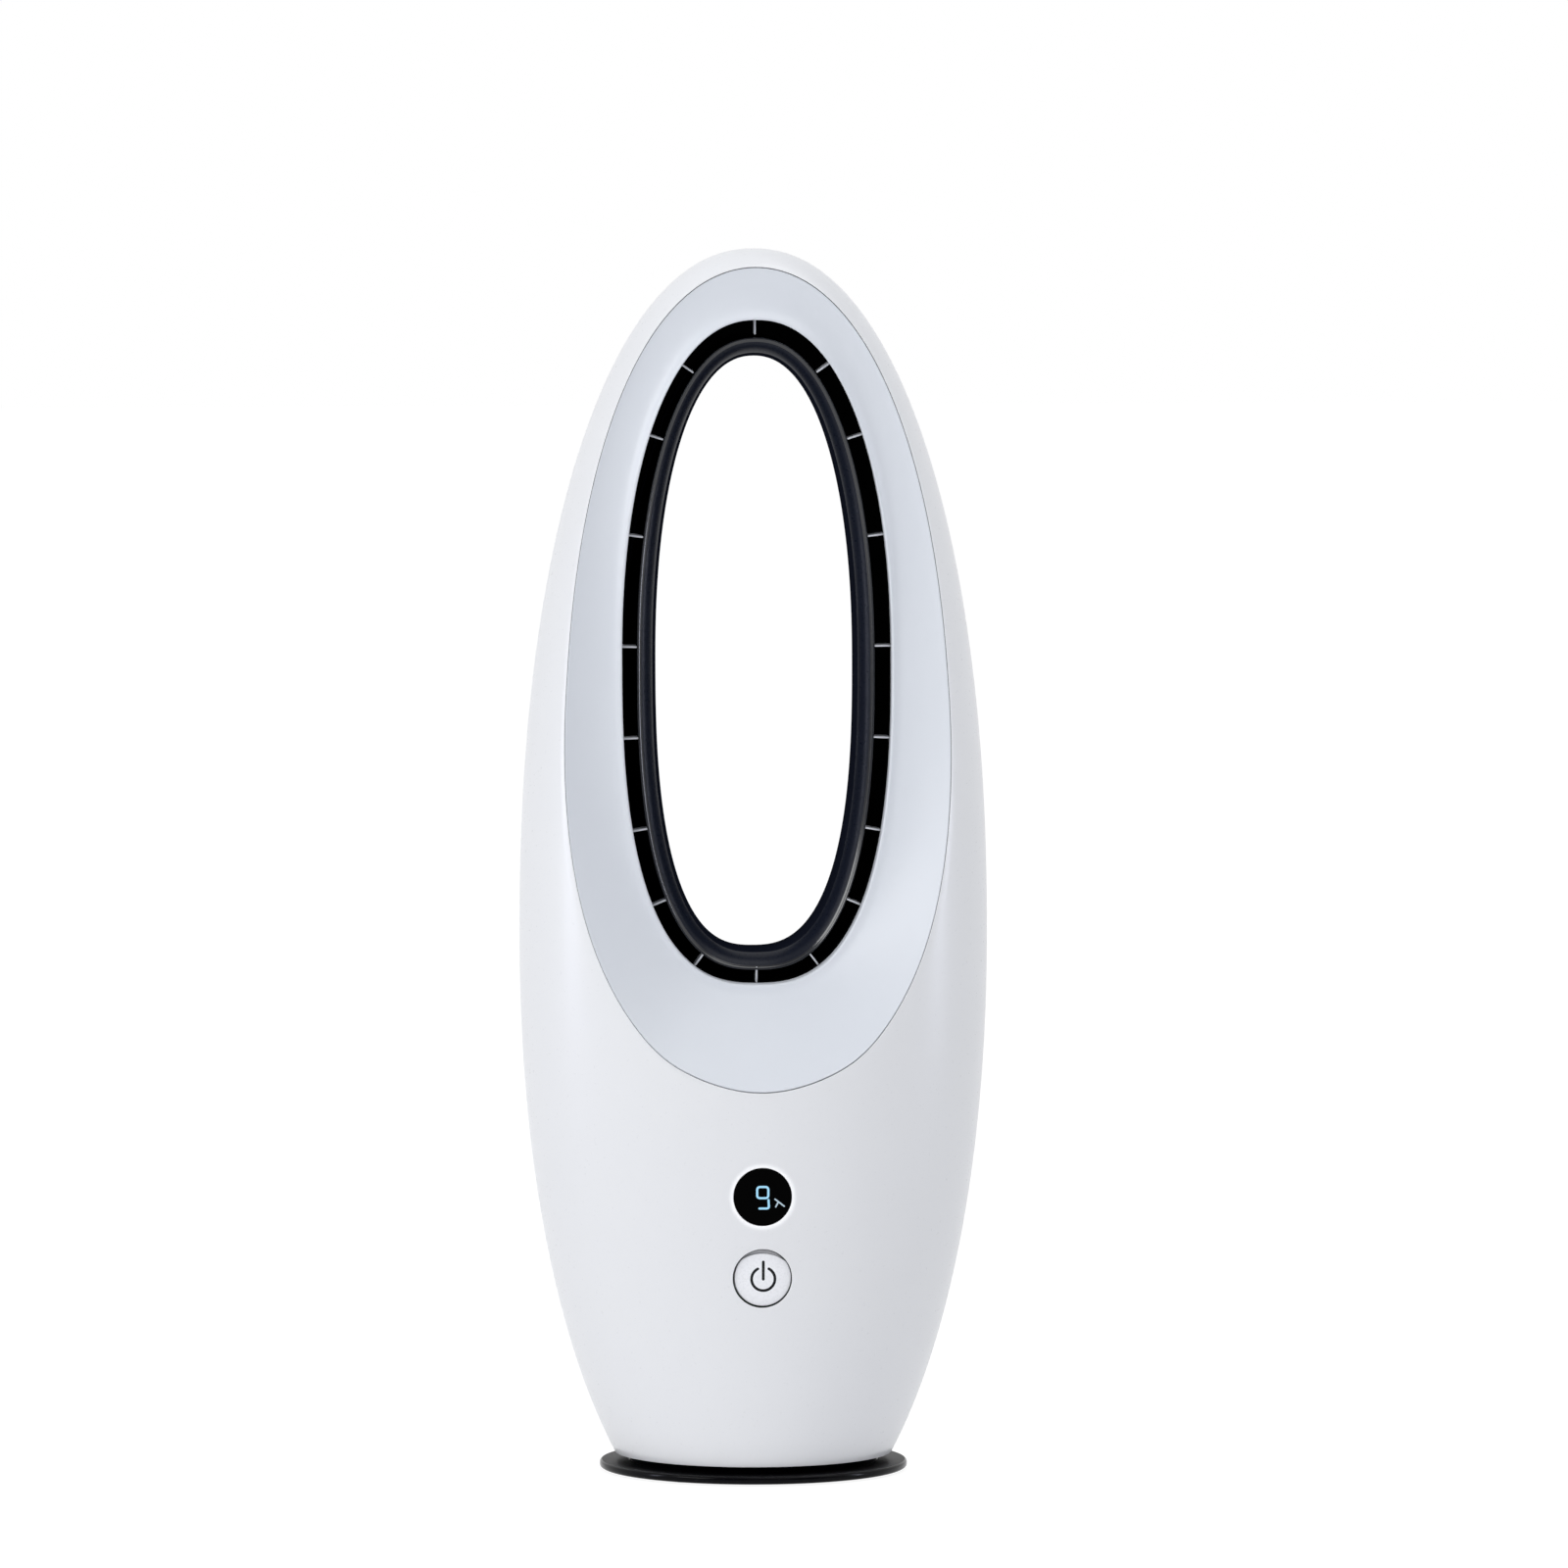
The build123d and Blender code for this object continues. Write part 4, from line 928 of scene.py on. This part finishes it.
def vanePlaces():
    half = ring["half"] - ring["width"] / 2
    places = [(0.0, ring["centre"] + ring["up"] - ring["width"] / 2, 90.0)]
    places.append((0.0, ring["centre"] - ring["down"] + ring["width"] / 2, -90.0))
    arcs = [(vanes["rises"], ring["up"], ring["upPower"], 1)]
    arcs.append((vanes["falls"], ring["down"], ring["downPower"], -1))
    for shares, tall, power, way in arcs:
        reach = tall - ring["width"] / 2
        for share in shares:
            across = half * (1 - share**power) ** (1 / power)
            rise, run = share ** (power - 1) / reach, (across / half) ** (power - 1) / half
            slope = np.degrees(np.arctan2(rise, run))
            z = ring["centre"] + way * reach * share
            places.append((across, z, way * slope))
            places.append((-across, z, 180 - way * slope))
    return places


def makeVanes():
    v = vanes
    blades = []
    for x, z, turn in vanePlaces():
        y = ring["y"] + (z - ring["centre"]) * ring["lean"] + v["front"] + v["depth"] / 2
        blade = blockOf((x, y, z), (2 * v["reach"], v["depth"], v["thick"]), turn)
        roundEdges(blade, v["nose"], 3, 60)
        blades.append(blade)
    piece = joinAll("guideVanes", blades)
    fit(piece, 40, "vane_grey", ["outlet_vanes"])


def makeSleeve():
    # the sleeve behind the panel's lip, which carries the vanes
    turns = evenTurns(lambda t: slotOval(t, 0, 0), ring["points"])
    front, rear = panel["sleeveRows"][0] + 0.05, vanes["front"] + vanes["depth"]
    inside = [slotOval(turns, 0.0, front + (rear - front) * k / 4) for k in range(5)]
    outside = [slotOval(turns, vanes["sleeveWall"], rear + (front - rear) * k / 4) for k in range(5)]
    piece = closedForm("ventSleeve", inside + outside + inside[:1])
    # painted shade: the sleeve is coloured near-black, not the vanes' grey
    fit(piece, 40, "vane_grey", ["outlet_vanes"], paintedShadeVentBlack)


def stroke(name, path, halfStroke, height, recess=0.0):
    # a low rounded strip along a path of (x, z) points, on the front skin or a face set back from it
    path = np.array(path, float)
    along = np.gradient(path, axis=0)
    along /= np.linalg.norm(along, axis=1)[:, None]
    side = np.stack([-along[:, 1], along[:, 0]], -1)
    sections, around = [], wholeTurn(16)
    ends = np.radians((30, 60, 90))
    stations = [(path[0], along[0], side[0], -turn) for turn in ends[::-1]]
    stations += [(p, a, s, 0) for p, a, s in zip(path, along, side)]
    stations += [(path[-1], along[-1], side[-1], turn) for turn in ends]
    for p, a, s, turn in stations:
        middle = p + a * halfStroke * sin(turn)
        wide = halfStroke * cos(turn)
        x, z = (middle + s * wide * np.cos(around)[:, None]).T
        y = faceAt(x, z, -1) + recess - height * cos(turn) * np.sin(around)
        sections.append(pointsOf(x, y, z))
    return closedForm(name, sections)


def rounded(points, radius, steps=6):
    # a path with its corners rounded
    points = [np.array(p, float) for p in points]
    out = [points[0]]
    for before, corner, after in zip(points, points[1:], points[2:]):
        a, b = before - corner, after - corner
        a, b = a / np.linalg.norm(a), b / np.linalg.norm(b)
        for t in np.linspace(0, 1, steps + 1):
            out.append(corner + a * radius * (1 - t) ** 2 + b * radius * t**2)
    out.append(points[-1])
    return spaced(out, lens["step"])


def spaced(points, gap):
    points = np.array(points)
    run = runOf(points)
    return placesAt(np.linspace(0, run[-1], max(int(run[-1] / gap), 4) + 1), run, points)


lens = {
    "rear": 72.0,
    "edge": 1.8,
    "rim": 0.3,
    "stroke": 0.52,
    "height": 0.06,
    "tailHeight": 0.054,
    "loopCorner": 1.5,
    "tailCorner": 1.2,
    "glyphStroke": 0.36,
    "step": 0.18,  # between the points of a stroke
}
# the numeral: a rounded upper loop, then the tail down its right side. The glyph: a plain three-bladed fan
numeralLoop = ((2.65, 2.2), (2.65, 4.9), (-2.7, 4.9), (-2.7, -0.5), (2.65, -0.5), (2.65, 2.2))
numeralTail = ((2.75, -1.4), (3.0, -5.5), (-1.6, -5.5))
glyphHub = (7.5, -2.3)
glyphTips = ((5.9, -1.05), (10.3, -4.5), (6.25, -4.75))


def makeWindow():
    c = controls
    outline = circleOutline(c["windowRadius"], 0, c["windowHeight"])
    edge = [(0.0, lens["edge"]), *rimSteps(-lens["rim"], (0, 30, 60, 90))]
    piece = skinPlug("displayWindow", outline, -1, edge, lens["rear"], 24)
    fit(piece, 40, "lens_black", ["display_window"])

    def lifted(points):
        return [(x, z + c["windowHeight"]) for x, z in points]

    loop = rounded(lifted(numeralLoop), lens["loopCorner"])
    tail = rounded(lifted(numeralTail), lens["tailCorner"])
    marks = [stroke("numeralLoop", loop, lens["stroke"], lens["height"])]
    marks.append(stroke("numeralTail", tail, lens["stroke"], lens["tailHeight"]))
    fit(joinAll("displayNumeral", marks), 60, "lens_black", (), digitBlue)
    blades = []
    for tip in glyphTips:
        path = spaced(lifted((glyphHub, tip)), lens["step"])
        blades.append(stroke("glyphBlade", path, lens["glyphStroke"], lens["height"]))
    fit(joinAll("displayGlyph", blades), 60, "lens_black", (), glyphPale)


button = {
    "visibleRadius": 13.6,
    "recess": 1.5,
    "rim": 0.4,
    "shift": (0.26, 0.12),  # the cap sits a little off the hole's middle
    "rear": 69.0,
    "arcRadius": 18.5,  # the cap's top is cut along this arc, and a shaded ledge shows above it
    "arcCentre": (-0.33, -6.6),
    "ledgeDrop": 2.2,
    "ringRadius": 5.6,
    "ringGap": 28.0,
    "ringCentre": (0.45, -0.4),
    "barTop": 7.9,
    "barLow": -0.5,
    "markStroke": 0.66,
    "markHeight": 0.05,
}


def capOutline(height):
    # the circle, or the arc where that is nearer
    b = button
    way = circleOutline(1.0, 0, 0, 240)
    along = way @ np.array(b["arcCentre"])
    away = np.dot(b["arcCentre"], b["arcCentre"]) - b["arcRadius"] ** 2
    arc = along + np.sqrt(along**2 - away)
    return way * np.minimum(arc, b["visibleRadius"])[:, None] + np.array(b["shift"]) + np.array([0, height])


def makeButton():
    b, height = button, controls["buttonHeight"]
    drop = b["recess"] + b["ledgeDrop"]
    rim = rimSteps(-b["rim"], (0, 20, 40, 60, 75, 90))
    edge = [(0.0, drop), *((grow, b["recess"] + depth) for grow, depth in rim)]
    cap = skinPlug("cap", capOutline(height), -1, edge, b["rear"], 30)
    edge = [(0.0, drop + 0.4), (0.0, drop + 0.1), (-0.1, drop)]
    ledge = skinPlug("ledge", circleOutline(b["visibleRadius"], 0, height, 160), -1, edge, b["rear"], 16)
    piece = joinAll("powerButton", [cap, ledge])
    paint(piece, finishes["button_white"], paintedShadeGrey)
    # painted shade: the cap's side walls take the dark grey that stands for the shadow in the gap round it
    for side in piece.data.polygons:
        side.material_index = int(abs(side.normal.y) < 0.2 and side.normal.z < 0.5)
    fit(piece, 50, "button_white", ["power_button"], body="button")
    x, z = b["ringCentre"]
    sweep = np.radians(np.linspace(90 + b["ringGap"], 450 - b["ringGap"], 90))
    arc = arcOf(b["ringRadius"], x, height + z, sweep)
    bar = spaced([(x, height + b["barTop"]), (x, height + b["barLow"])], 0.2)
    mark = (b["markStroke"], b["markHeight"], b["recess"])
    marks = [stroke("powerRing", arc, *mark), stroke("powerBar", bar, *mark)]
    fit(joinAll("powerMark", marks), 60, "button_white", (), printedInk, "button")


def turned(name, profile, segments):
    # a closed profile of (radius, height) points, swept round the upright axis
    selectOnly()
    radius, height = profile[0]
    bpy.ops.mesh.primitive_circle_add(vertices=segments, radius=radius * mm, location=(0, 0, height * mm))
    piece = bpy.context.object
    piece.name = piece.data.name = name
    bpy.ops.object.transform_apply()
    editAll(piece)
    for nextRadius, nextHeight in profile[1:] + profile[:1]:
        bpy.ops.mesh.extrude_edges_move(TRANSFORM_OT_translate={"value": (0, 0, (nextHeight - height) * mm)})
        grow = nextRadius / radius
        bpy.ops.transform.resize(value=(grow, grow, 1), center_override=(0, 0, 0))
        radius, height = nextRadius, nextHeight
    bpy.ops.mesh.select_all(action="SELECT")
    bpy.ops.mesh.remove_doubles(threshold=0.003 * mm)
    bpy.ops.mesh.normals_make_consistent()
    objectMode()
    return piece


base = {
    "radius": 74.0,
    "bottom": 1.0,
    "top": 4.8,
    "edge": 1.5,
    "platform": 58.0,
    "platformTop": 7.5,
    "slope": 2.0,
    "bore": 15.05,
    "boreLow": 4.4,
    "hub": 19.3,
    "pocket": 70.0,
    "pocketTop": 3.4,
    "segments": 192,
}


def makeBase():
    b = base
    foot = b["platform"] + b["slope"]
    profile = [(b["bore"], b["boreLow"]), (b["bore"], b["platformTop"])]
    profile += [(b["platform"] - 0.6, b["platformTop"]), (b["platform"], b["platformTop"] - 0.4)]
    profile += [(foot, b["top"] + 0.25), (foot + 0.6, b["top"])]
    for turn in np.radians(range(90, -100, -20)):
        lift = b["top"] - b["edge"] if turn > 0 else b["bottom"] + b["edge"]
        profile.append((b["radius"] - b["edge"] * (1 - cos(turn)), lift + b["edge"] * sin(turn)))
    profile += [(b["pocket"], b["bottom"]), (b["pocket"], b["pocketTop"]), (b["hub"], b["pocketTop"])]
    piece = turned("baseDisc", profile, b["segments"])
    paint(piece, finishes["base_black"], baseSatin)
    for face in piece.data.polygons:
        face.material_index = int(face.normal.z > 0.9)
    fit(piece, 30, "base_black", ["base_plate"], body="base")


grille = {
    "half": 52.0,
    "low": 42.0,
    "high": 122.0,
    "corner": 14.0,
    "edge": 0.4,
    "thick": 2.0,
    "pitch": 5.0,
    "gap": 2.4,
    "ledge": 2.5,
    "mullion": 3.0,
    "marginEnd": 3.6,
    "cutAt": 70.0,
    "cutDepth": 40.0,
    "slotRound": 1.1,
    "rings": 30,
}


def grilleOutline(grow=0.0):
    g = grille
    middle, half = (g["low"] + g["high"]) / 2, (g["high"] - g["low"]) / 2
    return roundedOutline(g["half"] + grow, half + grow, g["corner"] + grow, 0, middle)


def makeGrille():
    g = grille
    middle, half = (g["low"] + g["high"]) / 2, (g["high"] - g["low"]) / 2
    outline = grilleOutline()
    normals = outlineNormals(outline)
    rows = [onSkin(outline + normals * grow, 1, depth) for grow, depth in plateRim(g)]
    flat = outline - normals * g["edge"]
    centre = np.array([0, middle])
    shares = sharesOf(g["rings"])
    rows += [onSkin(centre + (flat - centre) * share, 1) for share in 1 - shares]
    rows += [onSkin(centre + (outline - centre) * share, 1, g["thick"]) for share in shares]
    plate = closedForm("intakeGrille", rows)
    third = (2 * g["half"] - 2 * g["ledge"] - 4 * g["mullion"]) / 3
    slots = []
    for row in range(1, round((g["high"] - g["low"]) / g["pitch"])):
        z = g["low"] + g["pitch"] * row
        up = max(abs(z - middle) - (half - g["corner"]), 0)
        sideEnd = g["half"] - g["corner"] + (g["corner"] ** 2 - up**2) ** 0.5 - g["marginEnd"]
        for column in (-1, 0, 1):
            left = column * (third + g["mullion"]) - third / 2
            right = left + third
            left, right = max(left, -sideEnd), min(right, sideEnd)
            place, size = ((left + right) / 2, g["cutAt"], z), (right - left, g["cutDepth"], g["gap"])
            slots.append(blockOf(place, size))
    cutter = joinAll("slotCutter", slots)
    editAll(cutter)
    bpy.ops.mesh.select_all(action="DESELECT")
    objectMode()
    for edge in cutter.data.edges:
        a, b = (cutter.data.vertices[k].co for k in edge.vertices)
        edge.select = abs(a.y - b.y) > g["cutDepth"] / 2 * mm
    bpy.ops.object.mode_set(mode="EDIT")
    bpy.ops.mesh.bevel(offset=g["slotRound"] * mm, segments=4)
    objectMode()
    cutWith(plate, cutter)
    fit(plate, 40, "grille_white", ["intake_grille"])


gland = {
    "half": 8.0,
    "height": 24.0,
    "corner": 0.5,
    "edge": 0.4,
    "thick": 3.0,
    "bore": 3.6,
    "mouth": 1.2,
    "front": 58.0,
}


def glandOutline(grow=0.0):
    g = gland
    return roundedOutline(g["half"] + grow, g["half"] + grow, g["corner"] + grow / 3, 0, g["height"], 6, 10)


def makeGland():
    g = gland
    piece = skinPlug("cordGland", glandOutline(), 1, plateRim(g), g["front"], 8)
    bore = circleOutline(g["bore"], 0, g["height"], 64)
    cutWith(piece, holeCutter(bore, 1, g["mouth"], g["front"] - 2))
    fit(piece, 40, "gland_grey", ["cord_gland"])


makeFrontShell()
makeRearShell()
makePanel()
makeDuct()
makeSleeve()
makeVanes()
makeWindow()
makeButton()
makeBase()
makeGrille()
makeGland()
print("pieces made")


studio = {
    "floorSize": 14.0,
    "floorColour": "#F4F4F5",
    "floorWhite": 0.75,  # how much of the floor the camera sees as plain white
    "floorStrength": 1.2,  # so that the floor reads as white away from the fan's shadow
    "frontDark": 0.1,  # what a gloss face sees towards the camera, where a studio is unlit
    "darkBetween": (-0.8, -0.1),  # the rays' forward part where that dark gives way to white
    "worldColour": "#F2F4F8",
    "worldStrength": 0.53,
}
# a strip only shows in glossy faces, as a streak along the duct
strip = {"size": (0.25, 1.6), "power": 15.0, "colour": "#E6EAFF", "glossOnly": True}
lamps = {
    "leftKey": {"place": (-2.5, -1.9, 1.6), "size": (1.6, 1.6), "power": 40.0},
    "frontFill": {"place": (0.5, -3.2, 0.9), "size": (2.0, 2.0), "power": 6.0, "colour": "#FAFBFF"},
    "topSoft": {"place": (0.8, -0.4, 2.4), "size": (1.8, 1.8), "power": 14.0},
    "rightHigh": {"place": (2.2, -1.2, 1.7), "size": (0.6, 1.2), "power": 1.5},
    "leftStrip": {"place": (-2.6, -0.35, 0.6), **strip},
    "rightStrip": {"place": (2.6, -0.35, 0.6), **strip},
}


def seenDirectly(tree):
    # 1 where the camera, a mirror or clear plastic sees this surface, else 0
    path = addNode(tree, "LightPath").outputs
    seen = path["Is Camera Ray"]
    for kind in ("Is Glossy Ray", "Is Transmission Ray"):
        seen = addNode(tree, "Math", {"operation": "MAXIMUM"}, {0: seen, 1: path[kind]}).outputs[0]
    return seen


def makeFloor():
    selectOnly()
    bpy.ops.mesh.primitive_plane_add(size=studio["floorSize"])
    floor = bpy.context.object
    floor.name = "studioFloor"
    material, tree = newMaterial("paleStudioFloor")
    matt = addNode(tree, "BsdfDiffuse", {"Color": linear(studio["floorColour"])})
    white = addNode(tree, "Emission", {"Color": (1, 1, 1, 1), "Strength": studio["floorStrength"]})
    part = {"operation": "MULTIPLY", 1: studio["floorWhite"]}
    share = addNode(tree, "Math", part, {0: seenDirectly(tree)})
    mixed = addNode(tree, "MixShader", {}, {0: share.outputs[0], 1: matt.outputs[0], 2: white.outputs[0]})
    addNode(tree, "OutputMaterial", {}, {"Surface": mixed.outputs[0]})
    paint(floor, material)


def makeWorld():
    world = bpy.data.worlds.new("studioWorld")
    bpy.context.scene.world = world
    world.use_nodes = True
    tree = world.node_tree
    tree.nodes.clear()
    glow = {"Color": linear(studio["worldColour"]), "Strength": studio["worldStrength"]}
    soft = addNode(tree, "Background", glow)
    way = addNode(tree, "TexCoord").outputs["Generated"]
    apart = addNode(tree, "SeparateXYZ", {}, {0: way})
    fade = {"interpolation_type": "SMOOTHSTEP", "To Min": studio["frontDark"]}
    fade["From Min"], fade["From Max"] = studio["darkBetween"]
    level = addNode(tree, "MapRange", fade, {"Value": apart.outputs["Y"]})
    # the camera itself sees plain white all round
    camera = addNode(tree, "LightPath").outputs["Is Camera Ray"]
    strength = addNode(tree, "Math", {"operation": "MAXIMUM"}, {0: level.outputs[0], 1: camera})
    white = addNode(tree, "Background", {"Color": (1, 1, 1, 1)}, {"Strength": strength.outputs[0]})
    mixed = addNode(tree, "MixShader", {}, {0: seenDirectly(tree), 1: soft.outputs[0], 2: white.outputs[0]})
    addNode(tree, "OutputWorld", {}, {"Surface": mixed.outputs[0]})


def makeLamps():
    target = Vector((0, 0, 0.3))
    for name, s in lamps.items():
        data = bpy.data.lights.new(name, "AREA")
        data.shape = "RECTANGLE"
        data.size, data.size_y = s["size"]
        data.energy = s["power"]
        data.color = linear(s.get("colour", "#FFFFFF"))[:3]
        lamp = bpy.data.objects.new(name, data)
        bpy.context.scene.collection.objects.link(lamp)
        lamp.location = s["place"]
        lamp.visible_diffuse = "glossOnly" not in s
        lamp.rotation_euler = (target - lamp.location).to_track_quat("-Z", "Y").to_euler()


makeFloor()
makeWorld()
makeLamps()
bpy.context.scene.view_settings.view_transform = "Standard"
selectOnly()
print("studio ready")
